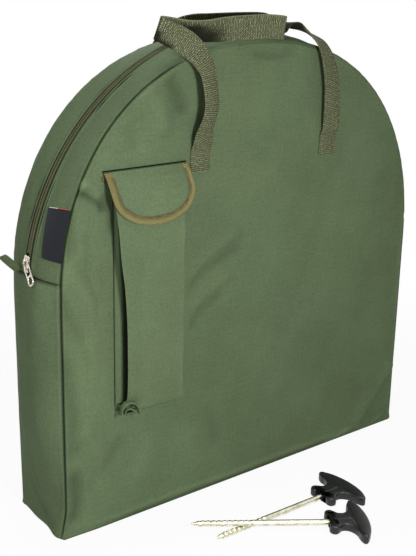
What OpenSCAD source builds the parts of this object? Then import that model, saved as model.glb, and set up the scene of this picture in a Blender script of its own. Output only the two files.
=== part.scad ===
// Pop-up chipping net in its D-shaped carry bag, with two screw-in ground pegs.
// X runs along the bag's width, -Y is the pocket side, +Z is up.
// The origin is the middle of the bag's base, on the ground.

/* [Bag] */
// Width of the bag between its side seams
bag_w = 600; // [560:5:640]
// Height of the front panel from the ground to the top of its arch
bag_h = 602; // [580:1:620]
// Depth of the bag between the outer faces of its two panels
bag_d = 113; // [105:1:130]
// Height at which the straight sides turn into the arch
shoulder_h = 300; // [280:5:310]
// Fullness of the arch, where 2 is a half ellipse and more is squarer
arch_fullness = 2.27; // [2:0.01:2.4]
// How far the side gusset swells past the seams
gusset_crown = 13.6; // [8:0.2:18]
// Thickness of the panel cloth with its backing
cloth_t = 2; // [1.6:0.1:2.4]
// Height at which the zip gusset is sewn to the plain gusset
gusset_seam_h = 337; // [330:1:345]

/* [Zip] */
// Width of one side of the zip tape
tape_w = 10; // [8:0.5:11]
// Thickness of the zip tape
tape_t = 0.8; // [0.6:0.1:1]
// Length of the slider
slider_l = 16; // [14:0.5:17]
// Width of the slider
slider_w = 12.4; // [11:0.2:13]
// Length of the pull tab from its bar to its end
pull_l = 32; // [22:1:33]
// Sideways lean of the pull tab
pull_lean = 44; // [20:1:45]

/* [Handles] */
// Width of the webbing
webbing_w = 30; // [25:1:35]
// Thickness of the webbing
webbing_t = 2.4; // [1.6:0.1:3]
// Middle of the left leg of each handle
leg_left_x = -98; // [-98:1:-94]
// Middle of the right leg of each handle
leg_right_x = 123; // [115:1:135]
// Bottom edge of the sewn ends
leg_bottom_h = 447; // [440:1:450]

/* [Pocket] */
// Left edge of the pocket at the panel
pocket_left_x = -225; // [-235:1:-220]
// Right edge of the pocket at the panel
pocket_right_x = -124; // [-127:1:-122]
// Bottom of the pocket
pocket_bottom_h = 156; // [140:1:170]
// Top of the pocket's mouth
pocket_top_h = 450; // [445:1:452]
// Depth of the pocket
pocket_depth = 25; // [20:1:28]
// Height of the flap from its fold to its lowest point
flap_h = 63; // [58:1:65]
// Width of the flap
flap_w = 120; // [116:1:122]
// Width of the binding around the flap
binding_w = 9; // [7:0.5:11]

/* [Folded net] */
// Middle radius of the wound hoop
hoop_r = 250; // [230:1:260]
// Loops that the hoop is twisted into
hoop_loops = 3; // [3]
// Diameter of the spring steel wire
wire_d = 4; // [3:0.5:5]
// Diameter of the cloth sleeve around the wire
sleeve_d = 11; // [10:0.5:11.5]

/* [Ground pegs] */
// Length of a peg from tip to crown
peg_l = 231; // [225:1:240]
// Diameter of the steel shank
shank_d = 7.8; // [7:0.1:8]
// Length of the thread from the tip
thread_l = 84; // [70:1:100]
// Distance between two turns of the thread
thread_pitch = 7; // [6:0.5:9]
// Thickness of the moulded grip
grip_t = 14; // [12:0.5:16]

/* [Hidden] */

OLIVE = [0.36, 0.44, 0.30];
OLIVE_DARK = [0.30, 0.36, 0.24];
WEBBING = [0.40, 0.43, 0.30];
KHAKI = [0.60, 0.55, 0.32];
TAPE = [0.25, 0.26, 0.18];
NICKEL = [0.78, 0.78, 0.76];
BLACK_CLOTH = [0.15, 0.16, 0.18];
ZINC = [0.76, 0.73, 0.60];
BLACK_PLASTIC = [0.17, 0.17, 0.18];
NETTING = [0.10, 0.11, 0.12];

half_w = bag_w / 2;
half_d = bag_d / 2;
panel_in = half_d - cloth_t;      // inner face of either panel
arch_rise = bag_h - shoulder_h;
corner_r = 20;                    // rounding of the bottom corners
swell_start = 20;                 // the crown grows from this height
swell_run = 120;                  // and is full this much higher
gusset_t = 1.8;                   // thickness of the gusset cloth
joint_gap = 0.4;                  // space left where two bodies meet
arch_steps = 44;                  // facets along the arch
cross_steps = 6;                  // facets across half a gusset

zip_r = half_w + gusset_crown + 0.4;   // middle of the zip tape
tape_in = 3.2;                    // inner edge of the tape, where the teeth are sewn
tape_edge = tape_in + tape_w;     // outer edge of the tape, at the gusset's edge
teeth_gap = 1.0;                  // the slider's post runs between the two rows
slider_h = 352;                   // height of the closed slider's middle
closed_angle = asin((slider_h - shoulder_h) / zip_r);
slider_half_angle = asin(slider_l / 2 / zip_r);
teeth_start = closed_angle + slider_half_angle + 0.4;
gusset_start = asin((gusset_seam_h - shoulder_h) / zip_r);

// ---------- outline of the bag ----------

// Radius of the seam line from the arch's centre, at an angle up from the left side
function seam_radius(a) = pow(
    pow(abs(cos(a)) / half_w, arch_fullness) + pow(abs(sin(a)) / arch_rise, arch_fullness),
    -1 / arch_fullness);

// A station is [x, z, outward x, outward z, crown]
function arch_station(a) =
    let (r = seam_radius(a))
    [-r * cos(a), shoulder_h + r * sin(a), -cos(a), sin(a), zip_r - 0.4 - r];
function ease(t) = let (c = min(max(t, 0), 1)) c * c * (3 - 2 * c);
function side_station(z) =
    [-half_w, z, -1, 0, gusset_crown * ease((z - swell_start) / swell_run)];
function corner_station(a) =
    [-half_w + corner_r - corner_r * cos(a), corner_r - corner_r * sin(a), -cos(a), -sin(a), 0];

lower_stations = concat(
    [for (a = [90:-22.5:0]) corner_station(a)],
    [for (z = [60:40:260]) side_station(z)],
    [for (i = [0:2]) arch_station(gusset_start * i / 2)]);
function arch_stations(from, to, steps) =
    [for (i = [0:steps]) arch_station(from + (to - from) * i / steps)];
function mirrored(list) = [for (i = [len(list) - 1:-1:0])
    let (s = list[i]) [-s[0], s[1], -s[2], s[3], s[4]]];
function inset_points(list, inset) = [for (s = list) [s[0] - s[2] * inset, s[1] - s[3] * inset]];
function outline(inset) = inset_points(concat(
    lower_stations,
    arch_stations(gusset_start + 3, 177 - gusset_start, arch_steps),
    mirrored(lower_stations)), inset);

// Share of the crown reached at a distance y from the bag's middle plane
function crown_share(y) = sin(90 * min(1, (half_d - abs(y)) / (half_d - tape_edge)));

// ---------- general shapes ----------

// Closed skin between two grids of points, rows by columns
module skin(outer, inner) {
    rows = len(outer);
    cols = len(outer[0]);
    count = rows * cols;
    flat_points = concat(
        [for (row = outer) for (p = row) p], [for (row = inner) for (p = row) p]);
    quads = [for (i = [0:rows - 2]) for (j = [0:cols - 2])
        [i * cols + j, i * cols + j + 1, (i + 1) * cols + j + 1, (i + 1) * cols + j]];
    rim = concat(
        [for (j = [0:cols - 1]) j],
        [for (i = [1:rows - 1]) i * cols + cols - 1],
        [for (j = [cols - 2:-1:0]) (rows - 1) * cols + j],
        [for (i = [rows - 2:-1:1]) i * cols]);
    polyhedron(points = flat_points, faces = concat(
        [for (q = quads) [q[0], q[1], q[2]]],
        [for (q = quads) [q[0], q[2], q[3]]],
        [for (q = quads) [q[2] + count, q[1] + count, q[0] + count]],
        [for (q = quads) [q[3] + count, q[2] + count, q[0] + count]],
        [for (k = [0:len(rim) - 1]) let (a = rim[k], b = rim[(k + 1) % len(rim)])
            [a + count, b + count, b]],
        [for (k = [0:len(rim) - 1]) let (a = rim[k], b = rim[(k + 1) % len(rim)])
            [a + count, b, a]]));
}

// Part of the gusset between two distances from the middle plane, lifted outwards
function gusset_grid(stations, from, to, steps, lift) = [for (s = stations)
    [for (j = [0:steps]) let (y = from + (to - from) * j / steps,
        out = s[4] * crown_share(y) + lift)
        [s[0] + s[2] * out, y, s[1] + s[3] * out]]];
module gusset_skin(stations, from, to, steps, top = 0, thickness = gusset_t) {
    skin(gusset_grid(stations, from, to, steps, top),
        gusset_grid(stations, from, to, steps, top - thickness));
}

// Tube through rings of points, closed with flat ends
module tube(rings) {
    n = len(rings[0]);
    last = len(rings) - 1;
    polyhedron(points = [for (r = rings) for (p = r) p], faces = concat(
        [for (i = [0:last - 1]) for (j = [0:n - 1])
            [i * n + j, i * n + (j + 1) % n, (i + 1) * n + (j + 1) % n]],
        [for (i = [0:last - 1]) for (j = [0:n - 1])
            [i * n + j, (i + 1) * n + (j + 1) % n, (i + 1) * n + j]],
        [[for (j = [n - 1:-1:0]) j]],
        [[for (j = [0:n - 1]) last * n + j]]));
}

// Flat profile in the XZ plane, its back at y and its front nearer the viewer
module upright(y, thickness) {
    translate([0, y, 0]) rotate([90, 0, 0]) linear_extrude(thickness) children();
}

// Profile [radius, y] swept round the zip's arc between two angles from the left side
module along_zip(from, to) {
    translate([0, 0, shoulder_h]) rotate([-90, 0, 0]) rotate([0, 0, 180 + from])
        rotate_extrude(angle = to - from, $fn = 160) children();
}

function unit(v) = v / norm(v);

// Height at which the gusset's cross seam meets the panels, where the rear leaf folds
leaf_fold_h = shoulder_h + seam_radius(gusset_start) * sin(gusset_start);

// ---------- bag shell ----------

module front_panel() {
    color(OLIVE) upright(-panel_in, cloth_t) polygon(outline(0));
}

module rear_panel_lower() {
    color(OLIVE) upright(half_d, cloth_t) intersection() {
        polygon(outline(0));
        translate([-bag_w, 0]) square([2 * bag_w, leaf_fold_h]);
    }
}

module rear_panel_upper() {
    color(OLIVE) upright(half_d, cloth_t) intersection() {
        polygon(outline(0));
        translate([-bag_w, leaf_fold_h + joint_gap]) square([2 * bag_w, bag_h]);
    }
}

module base_panel() {
    color(OLIVE_DARK) translate([-half_w + corner_r, -panel_in, 0])
        cube([bag_w - 2 * corner_r, 2 * panel_in, gusset_t]);
}

module side_gusset_left() {
    color(OLIVE) gusset_skin(lower_stations, -panel_in, panel_in, 2 * cross_steps);
}

module side_gusset_right() {
    color(OLIVE) mirror([1, 0, 0])
        gusset_skin(lower_stations, -panel_in, panel_in, 2 * cross_steps);
}

module zip_gusset_half(from, to) {
    rise = asin(joint_gap / zip_r);
    gusset_skin(arch_stations(gusset_start + rise, 180 - gusset_start - rise, arch_steps),
        from, to, cross_steps);
}

module zip_gusset_front() {
    color(OLIVE) zip_gusset_half(-panel_in, -tape_edge);
}

module zip_gusset_rear() {
    color(OLIVE) zip_gusset_half(tape_edge, panel_in);
}

// Ring of binding tape that covers the raw seam inside the bag
module seam_ring() {
    difference() {
        polygon(outline(gusset_t + 0.4));
        polygon(outline(gusset_t + 9));
    }
}

module front_seam_tape() {
    color(OLIVE_DARK) upright(-panel_in + 1.2, 1.2) seam_ring();
}

module rear_seam_tape_lower() {
    color(OLIVE_DARK) upright(panel_in, 1.2) intersection() {
        seam_ring();
        translate([-bag_w, 0]) square([2 * bag_w, gusset_seam_h - 2]);
    }
}

module rear_seam_tape_upper() {
    color(OLIVE_DARK) upright(panel_in, 1.2) intersection() {
        seam_ring();
        translate([-bag_w, gusset_seam_h + 4]) square([2 * bag_w, bag_h]);
    }
}

// Label sewn into the front seam, wider at its top
module side_label() {
    label_from = 11.6;                // angles up from the arch's centre
    label_to = 22.9;
    low_w = 28;
    high_w = 38;
    columns = 8;
    rows = 6;
    function label_grid(lift) = [for (i = [0:rows])
        let (s = arch_station(label_from + (label_to - label_from) * i / rows))
        [for (j = [0:columns])
            let (y = -half_d + 0.6 + (low_w + (high_w - low_w) * i / rows) * j / columns,
                out = s[4] * crown_share(y) + lift)
            [s[0] + s[2] * out, y, s[1] + s[3] * out]]];
    color(BLACK_CLOTH) skin(label_grid(1.2), label_grid(0.2));
}

// ---------- zip ----------

module tape_half(side) {
    along_zip(teeth_start, 180 - teeth_start)
        translate([zip_r - tape_t / 2, side > 0 ? tape_in : -tape_edge])
            square([tape_t, tape_w]);
}

module zip_tape_front() {
    color(TAPE) tape_half(-1);
}

module zip_tape_rear() {
    color(TAPE) tape_half(1);
}

module teeth_half(side) {
    teeth_w = tape_in - teeth_gap;
    along_zip(teeth_start + 0.3, 179.7 - teeth_start)
        translate([zip_r - 1, side > 0 ? teeth_gap : -tape_in])
            square([2.2, teeth_w]);
}

module zip_teeth_front() {
    color(TAPE) teeth_half(-1);
}

module zip_teeth_rear() {
    color(TAPE) teeth_half(1);
}

module zip_stops() {
    stop_angle = gusset_start + 0.75;
    color(NICKEL) for (a = [stop_angle, 180 - stop_angle])
        along_zip(a - 0.3, a + 0.3) translate([zip_r - 4.2, -3]) square([5, 6]);
}

// Cloth behind each end of the zip, sewn under the front half of the gusset
module zip_end_patches() {
    patch_angle = teeth_start + 1.5;
    color(OLIVE_DARK) for (a = [gusset_start + 0.1, 180 - patch_angle])
        along_zip(a, a + patch_angle - gusset_start - 0.1)
            translate([zip_r - 5.4, -tape_edge - 8]) square([1.2, 2 * tape_edge + 7]);
}

// Folded ribbon that is held while the zip is drawn
module zip_end_tab() {
    tab_l = 36;
    tab_w = 11;
    tab_y = 11.4;                 // beside the slider, towards the rear
    half_lens = 5.4;
    ribbon_t = 1.1;
    function lens(half, trim) = concat(
        [for (i = [0:16]) [trim + (tab_l - 2 * trim) * i / 16, half * sin(180 * i / 16)]],
        [for (i = [15:-1:1]) [trim + (tab_l - 2 * trim) * i / 16, -half * sin(180 * i / 16)]]);
    color(OLIVE) {
        translate([-zip_r - 4.2, tab_y + tab_w, gusset_seam_h + 2]) rotate([90, -135, 0])
            linear_extrude(tab_w) difference() {
                polygon(lens(half_lens, 0));
                polygon(lens(half_lens - ribbon_t, 2.4));
            }
        translate([-zip_r - 4.6, tab_y, gusset_seam_h - 8]) cube([3.6, tab_w, 11.5]);
    }
}

// One slider: two plates with turned-in edges, a post between them and a bridge on top
module zip_slider() {
    plate_t = 1.1;
    under = zip_r - 1.5;          // inner plate's outer face
    over = zip_r + 1.7;           // outer plate's inner face
    lip = 0.45;                   // space between a lip and the tape
    half = slider_l / 2;
    side = slider_w / 2;
    color(NICKEL) translate([0, 0, shoulder_h]) rotate([0, closed_angle, 0]) mirror([1, 0, 0])
    union() {
        // plates, narrower at the tail, with the outline of a shield
        for (x = [under - plate_t, over])
            translate([x, 0, 0]) rotate([90, 0, 90]) linear_extrude(plate_t)
                polygon([[-side, half - 3], [-side + 2.5, half], [side - 2.5, half],
                    [side, half - 3], [side - 1, -half], [1 - side, -half]]);
        for (s = [-1, 1]) {
            translate([zip_r + tape_t / 2 + lip, s > 0 ? side - 1.1 : -side, -half + 4])
                cube([over - zip_r - tape_t / 2, 1.1, slider_l - 7.5]);
            translate([under - plate_t, s > 0 ? side - 1.1 : -side, -half + 4])
                cube([plate_t + 1.5 - tape_t / 2 - lip, 1.1, slider_l - 7.5]);
        }
        translate([under - 0.5, -0.5, half - 5]) cube([over - under + 1, 1, 4.6]);
        // bridge over the pull's bar
        for (z = [-3.25, 3])
            translate([over + plate_t - 0.3, -1, z]) cube([3.9, 2, 0.6]);
        translate([over + plate_t + 2.6, -1, -3.25]) cube([1, 2, 6.85]);
    }
}

pull_r = zip_r + 1.7 + 1.1 + 1.4;  // distance of the pull's bar from the arch's centre
pull_at = [-pull_r * cos(closed_angle), 0, shoulder_h + pull_r * sin(closed_angle)];

// Stamped tab with an eye round the slider's bridge and a slot in its end
module zip_pull() {
    tab_t = 1.2;
    eye_half = 3.3;
    arm = 1.5;
    bar_d = 1.8;
    end_r = 4.6;
    color(NICKEL) translate(pull_at) rotate([0, closed_angle, 0]) rotate([-pull_lean, 0, 0])
    union() {
        rotate([90, 0, 0]) cylinder(d = bar_d, h = 2 * eye_half + 2 * arm, center = true, $fn = 32);
        translate([tab_t / 2, 0, 0]) rotate([0, -90, 0]) linear_extrude(tab_t) difference() {
            union() {
                translate([-8, -eye_half - arm]) square([8, 2 * (eye_half + arm)]);
                polygon([[-7.5, -eye_half - arm], [-7.5, eye_half + arm],
                    [-pull_l + end_r, end_r], [-pull_l + end_r, -end_r]]);
                translate([-pull_l + end_r, 0]) circle(r = end_r, $fn = 48);
            }
            translate([-6.6, -eye_half]) square([9, 2 * eye_half]);
            translate([-pull_l + end_r, 0]) circle(r = end_r - 1.5, $fn = 48);
            translate([-pull_l + end_r, -end_r + 1.5]) square([5, 2 * end_r - 3]);
        }
    }
}

// ---------- handles ----------

leg_top_h = 476;
// Height and stand-off of the line about which a handle folds
fold_h = leg_top_h;
fold_y = half_d + 4.5;

// Stations along a handle from the left leg to the right, each a point [x, y, z] and then
// the direction of the webbing's width there [x, y, z]
front_route = [
    [-98, -60.5, 478, 1, 0, 0], [-98.5, -63.5, 484, 1, 0.04, 0], [-101, -70, 498, 1, 0.2, 0],
    [-99, -76, 514, 1, 0.34, 0], [-96.5, -78, 530, 1, 0.34, 0], [-97, -77, 545, 1, 0.34, 0.04],
    [-99, -74, 566, 0.98, 0.3, 0.16], [-103, -70.5, 580, 0.9, 0.2, 0.4],
    [-111, -67, 592, 0.74, 0.05, 0.68], [-121, -64.5, 601, 0.5, -0.15, 0.86],
    [-133, -63, 608.5, 0.3, -0.3, 0.9], [-146, -62, 614.5, 0.15, -0.45, 0.9],
    [-156, -61, 618.5, 0.06, -0.5, 0.87], [-161, -59, 620.5, 0, -0.5, 0.87],
    [-162, -57, 621.6, 0, -0.5, 0.87], [-160, -54.6, 622.4, 0, -0.45, 0.89],
    [-152, -52.6, 622, 0, -0.48, 0.88], [-140, -51.8, 620.5, 0, -0.5, 0.87],
    [-117, -52.5, 617.5, 0, -0.52, 0.86], [-89, -55.5, 617, 0, -0.42, 0.9],
    [-62, -57.5, 618.3, 0, -0.12, 1], [-36, -59.5, 619.3, 0, 0.1, 1],
    [-2, -63, 620.3, 0.03, 0.12, 1], [14, -65.5, 619.6, 0.06, 0.08, 1],
    [23, -67, 618.6, 0.12, 0.04, 1], [27.5, -66.3, 618, 0.2, 0.03, 1],
    [29, -63, 617.8, 0.15, 0.1, 0.97], [29.5, -59, 618.6, -0.1, 0.3, 0.9],
    [32.5, -55, 620, -0.38, 0.5, 0.62], [38, -51.5, 622, -0.52, 0.72, 0.3],
    [47.5, -48.3, 623, -0.5, 0.84, 0], [60, -49, 619.6, -0.28, 0.93, -0.06],
    [73, -53, 613.4, 0.12, 0.95, 0.1], [86, -58, 605, 0.55, 0.8, 0.15],
    [97.5, -63.4, 594.3, 0.8, 0.58, 0.1], [106, -66.6, 579.3, 0.91, 0.42, 0.03],
    [112, -68, 560.5, 0.95, 0.34, 0], [116.5, -68, 541, 0.96, 0.3, 0],
    [118, -68, 520, 0.96, 0.3, 0], [119.7, -66.5, 500, 1, 0.15, 0], [122.6, -63.5, 484, 1, 0, 0],
    [123, -60.5, 478, 1, 0, 0]];
rear_route = [
    [-98, 60.5, 478, 1, 0, 0], [-97.5, 63, 484, 1, 0, 0], [-94, 68, 500, 1, 0, 0],
    [-86, 73, 535, 1, 0, -0.07], [-75, 72, 568, 0.99, 0, -0.14], [-67, 66, 590, 0.96, 0.05, -0.28],
    [-62, 56, 606, 0.83, 0.3, -0.56], [-55, 44, 616, 0.53, 0.7, -0.85],
    [-42, 36, 620.5, 0.21, 0.9, -0.98], [-22, 32, 621.5, 0, 1, -1], [8, 31, 622, 0, 1, -1],
    [40, 31, 622, 0, 1, -1], [64, 33, 621, -0.1, 0.95, -0.99], [84, 40, 617, -0.37, 0.8, -0.93],
    [100, 50, 606, -0.74, 0.5, -0.67], [112, 60, 588, -0.94, 0.2, -0.34],
    [118, 67, 560, -0.99, 0.05, -0.14], [121, 69, 525, -1, 0, -0.03], [122.6, 64, 486, -1, 0, 0],
    [123, 60.5, 478, -1, 0, 0]];

module strap(route) {
    last = len(route) - 1;
    function centre(i) = [route[i][0], route[i][1], route[i][2]];
    function width_dir(i) = [route[i][3], route[i][4], route[i][5]];
    rings = [for (i = [0:last])
        let (along = unit(centre(min(i + 1, last)) - centre(max(i - 1, 0))),
            across = unit(width_dir(i) - along * (width_dir(i) * along)),
            out = cross(along, across),
            w = across * webbing_w / 2, t = out * webbing_t / 2)
        [centre(i) + w + t, centre(i) + w - t, centre(i) - w - t, centre(i) - w + t]];
    tube(rings);
}

module sewn_ends(y) {
    for (x = [leg_left_x, leg_right_x])
        translate([x - webbing_w / 2, y, leg_bottom_h])
            cube([webbing_w, 2, leg_top_h - leg_bottom_h]);
}

module front_handle_ends() {
    color(WEBBING) sewn_ends(-half_d - 2);
}

module front_handle() {
    color(WEBBING) strap(front_route);
}

module rear_handle_ends() {
    color(WEBBING) sewn_ends(half_d);
}

module rear_handle() {
    color(WEBBING) strap(rear_route);
}

// ---------- peg pocket ----------

pocket_face = half_d + pocket_depth;   // outer face of the pocket's front
pocket_t = 1.6;
flap_x = -180;
flap_fold_h = 461.5;
flap_lip = 20;                         // straight part of the flap's sides
flap_lift = 5.2;                       // from the flap's face in to the pocket's face
patch_w = 40;
patch_low = 411;
patch_high = 432;

// Outer face of the hanging flap, as [y, z] from its fold down
flap_line = [[-60.6, 461.5], [-67, 456], [-79, 436], [-pocket_face - 5.2, 396]];

// Upright slice between two distances in from the flap's outer face, run along X
module flap_layer(from, to, width) {
    translate([flap_x - width / 2, 0, 0]) rotate([90, 0, 90]) linear_extrude(width) polygon(concat(
        [for (p = flap_line) [p[0] + from, p[1]]],
        [for (i = [len(flap_line) - 1:-1:0]) [flap_line[i][0] + to, flap_line[i][1]]]));
}

// Everything between two heights
module height_band(low, high) {
    translate([-bag_w, -bag_d, low]) cube([2 * bag_w, 2 * bag_d, high - low]);
}

// Bellows section of the pocket, offset inwards by t
module pocket_section(t) {
    left = pocket_left_x + t;
    right = pocket_right_x - t;
    back = -half_d + (t > 0 ? 1 : 0);
    fold = 8;                          // depth of the fold in either side
    polygon([[left, back], [left + fold, -half_d - pocket_depth / 2], [left + 1.5, -pocket_face + t],
        [right - 13, -pocket_face + t], [right - 7 - fold, -half_d - pocket_depth / 2],
        [right, back]]);
}

// Solid pocket, leaning back to the panel under the flap
module pocket_block(t, top) {
    lean = [for (i = [len(flap_line) - 1:-1:1]) [flap_line[i][0] + flap_lift + t, flap_line[i][1]]];
    intersection() {
        linear_extrude(top) pocket_section(t);
        translate([-bag_w, 0, 0]) rotate([90, 0, 90]) linear_extrude(2 * bag_w) polygon(concat(
            [[0, 0], [-bag_d, 0], [-bag_d, lean[0][1]]], lean, [[lean[2][0] + 12, bag_h], [0, bag_h]]));
    }
}

module peg_pocket() {
    color(OLIVE) difference() {
        intersection() {
            pocket_block(0, pocket_top_h);
            height_band(pocket_bottom_h, pocket_top_h);
        }
        intersection() {
            pocket_block(pocket_t, pocket_top_h + 1);
            height_band(pocket_bottom_h + pocket_t, pocket_top_h + 1);
        }
    }
}

module pocket_hem() {
    color(KHAKI) intersection() {
        flap_layer(flap_lift - 0.8, flap_lift, 76);
        height_band(pocket_top_h - 9, pocket_top_h);
    }
}

module pocket_loop_patch() {
    color(BLACK_CLOTH) intersection() {
        flap_layer(flap_lift - 0.8, flap_lift, patch_w);
        height_band(patch_low, patch_high);
    }
}

// Strip by which the flap is sewn to the panel
module flap_strip() {
    color(KHAKI) translate([flap_x - flap_w / 2, -half_d - 1.8, flap_fold_h - 11])
        cube([flap_w, 1.8, 7]);
}

// Outline of the flap seen from the front, its fold along the top
function flap_points(inset) = concat(
    [[flap_w / 2 - inset, 1]],
    [for (a = [0:7.5:180]) let (c = cos(a), s = sin(a))
        [(flap_w / 2 - inset) * sign(c) * pow(abs(c), 0.88),
         -flap_lip - (flap_h - flap_lip - inset) * pow(s, 0.88)]],
    [[-flap_w / 2 + inset, 1]]);

module flap_outline(inset) {
    translate([flap_x, 0, flap_fold_h]) upright(0, bag_d) polygon(flap_points(inset));
}

module pocket_flap() {
    color(OLIVE) intersection() {
        flap_layer(0.8, 2.6, flap_w);
        flap_outline(2);
    }
}

module flap_binding() {
    color(KHAKI) for (from = [0, 2.6])
        difference() {
            intersection() {
                flap_layer(from, from + 0.8, flap_w);
                flap_outline(0);
            }
            flap_outline(binding_w);
        }
}

module flap_hook_patch() {
    color(BLACK_CLOTH) intersection() {
        flap_layer(2.6, 3.6, patch_w);
        height_band(patch_low, patch_high);
    }
}

// ---------- folded net ----------

hoop_centre = [0, 0, 272];
hoop_ring_count = 24;              // rings of points along one loop
loop_step = 13;                    // distance between two loops
crossing = 150;                    // the closing run takes this many degrees
crossing_dip = 14;                 // and passes this far inside the loops
hoop_climb = 360 * hoop_loops - crossing;
hoop_rise = loop_step * hoop_climb / 360;

// Middle of the hoop's wire at a turn angle; it climbs steadily, then crosses back inside
function hoop_point(a) =
    let (back = max(0, (a - hoop_climb) / crossing),
        level = a > hoop_climb ? 1 - ease((back - 0.25) * 2) : a / hoop_climb,
        r = hoop_r - crossing_dip * ease(back * 4) * ease((1 - back) * 4))
    hoop_centre + [r * cos(a - 45), hoop_rise * (level - 0.5), r * sin(a - 45)];
hoop_count = hoop_loops * hoop_ring_count;
hoop_points = [for (i = [0:hoop_count - 1]) hoop_point(360 * i / hoop_ring_count)];

// Rings of six points round the hoop's wire at a radius
function hoop_rings(radius) = [for (i = [0:hoop_count - 1])
    let (p = hoop_points[i],
        along = unit(hoop_points[(i + 1) % hoop_count] - hoop_points[(i + hoop_count - 1) % hoop_count]),
        out = unit(cross(along, [0, 1, 0])),
        up = cross(along, out))
    [for (k = [0:5]) p + radius * (cos(60 * k) * out + sin(60 * k) * up)]];

// Faces that join the hoop's closed run of six-sided rings
function ring_faces() = [for (i = [0:hoop_count - 1]) for (k = [0:5]) for (half = [0, 1])
    let (n = (i + 1) % hoop_count, m = (k + 1) % 6,
        a = i * 6 + k, b = i * 6 + m, c = n * 6 + m, d = n * 6 + k,
        f = half == 0 ? [a, b, c] : [a, c, d])
    [f[2], f[1], f[0]]];

function far_apart(i, j) = let (gap = abs(i - j)) min(gap, hoop_count - gap) > hoop_ring_count / 2;
hoop_gap = min([for (i = [0:hoop_count - 1]) for (j = [0:hoop_count - 1]) if (far_apart(i, j))
    norm(hoop_points[i] - hoop_points[j])]) - sleeve_d;
echo(hoop_least_gap = hoop_gap);

module hoop_wire() {
    color(NICKEL) polyhedron(points = [for (r = hoop_rings(wire_d / 2)) for (p = r) p],
        faces = ring_faces());
}

module hoop_sleeve() {
    inner_r = wire_d / 2 + 0.8;
    color(BLACK_CLOTH) difference() {
        polyhedron(points = [for (r = hoop_rings(sleeve_d / 2)) for (p = r) p],
            faces = ring_faces());
        polyhedron(points = [for (r = hoop_rings(inner_r)) for (p = r) p],
            faces = ring_faces());
    }
}

// Netting and its cloth trim, gathered flat inside the hoop
module netting_bundle() {
    bundle_r = hoop_r - 26;
    bundle_half = 11;
    color(NETTING) translate(hoop_centre) rotate([90, 0, 0])
        rotate_extrude($fn = 120) polygon(concat(
            [[0, -bundle_half], [0, bundle_half]],
            [for (a = [80:-20:-80]) [bundle_r - bundle_half * (1 - cos(a)) * 1.6,
                bundle_half * sin(a)]]));
}

// Elastic strap that keeps the loops together
module net_strap() {
    strap_h = sleeve_d / 2 + 1.2;
    reach = hoop_rise / 2 + sleeve_d / 2 + 1.2;
    color(BLACK_CLOTH) translate(hoop_centre + [0, 0, hoop_r])
        difference() {
            translate([-12.5, -reach - 1.2, -strap_h - 1.2 - 18])
                cube([25, 2 * reach + 2.4, 2 * strap_h + 2.4 + 18]);
            translate([-13, -reach, -strap_h - 18]) cube([26, 2 * reach, 2 * strap_h + 18]);
        }
}

// ---------- ground pegs ----------

// Half outline of the grip as [distance from the tip, distance from the shank's middle]
grip_half = [
    [186, 0], [186, 5.5], [187.2, 9], [186, 13], [183, 14], [181.5, 11.5], [179, 10],
    [177, 13], [177.2, 18], [180.5, 21.5], [185.5, 22], [190, 18.5], [194, 14.5], [200, 14],
    [205, 17], [209, 23], [211, 30], [212, 37], [214.5, 43], [217.5, 44.5], [220.5, 43],
    [224, 37], [227.5, 28], [230, 15], [231, 0]];
shank_end = 222;
thread_ridge = 0.9;
thread_core = shank_d / 2 - 0.5;

// Thread: rings of points whose radius rises once a turn
module peg_thread() {
    sides = 12;
    step = 1.4;
    tip_l = 11;
    rings = [for (s = [0:step:thread_l])
        let (taper = min(1, 0.16 + 0.84 * s / tip_l), fade = ease((thread_l - s) / 8))
        [for (k = [0:sides - 1])
            let (lobe = 0.5 + 0.5 * cos(360 * s / thread_pitch - 360 * k / sides),
                r = taper * (thread_core + thread_ridge * pow(lobe, 2) * fade))
            [s, r * cos(360 * k / sides), r * sin(360 * k / sides)]]];
    tube([for (r = rings) [for (k = [sides - 1:-1:0]) r[k]]]);
}

module peg_shank() {
    color(ZINC) union() {
        peg_thread();
        translate([thread_l - 2, 0, 0]) rotate([0, 90, 0])
            cylinder(d = shank_d, h = shank_end - thread_l + 2, $fn = 48);
    }
}

module peg_grip() {
    full = concat(grip_half, [for (i = [len(grip_half) - 2:-1:1]) [grip_half[i][0], -grip_half[i][1]]]);
    body_t = grip_t - 2;
    color(BLACK_PLASTIC) difference() {
        union() {
            translate([0, 0, -body_t / 2]) linear_extrude(body_t) polygon(full);
            translate([0, 0, -grip_t / 2]) linear_extrude(grip_t) intersection() {
                polygon(full);
                translate([211.5, -50]) square([30, 100]);
            }
        }
        translate([170, 0, 0]) rotate([0, 90, 0])
            cylinder(d = shank_d + 0.1, h = shank_end - 170, $fn = 48);
    }
}

// Peg A lies over peg B: its tip is in the air and its grip rests on the ground
module place_peg_a() {
    translate([-168.7, -141.1, 17.2]) rotate([0, 0, -31.35]) rotate([0, 2.5, 0]) children();
}

module place_peg_b() {
    translate([-153.3, -171.4, 5.1]) rotate([0, 0, -2.1]) rotate([0, -0.52, 0]) children();
}

module peg_a_shank() {
    place_peg_a() peg_shank();
}

module peg_a_grip() {
    place_peg_a() peg_grip();
}

module peg_b_shank() {
    place_peg_b() peg_shank();
}

module peg_b_grip() {
    place_peg_b() peg_grip();
}

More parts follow.
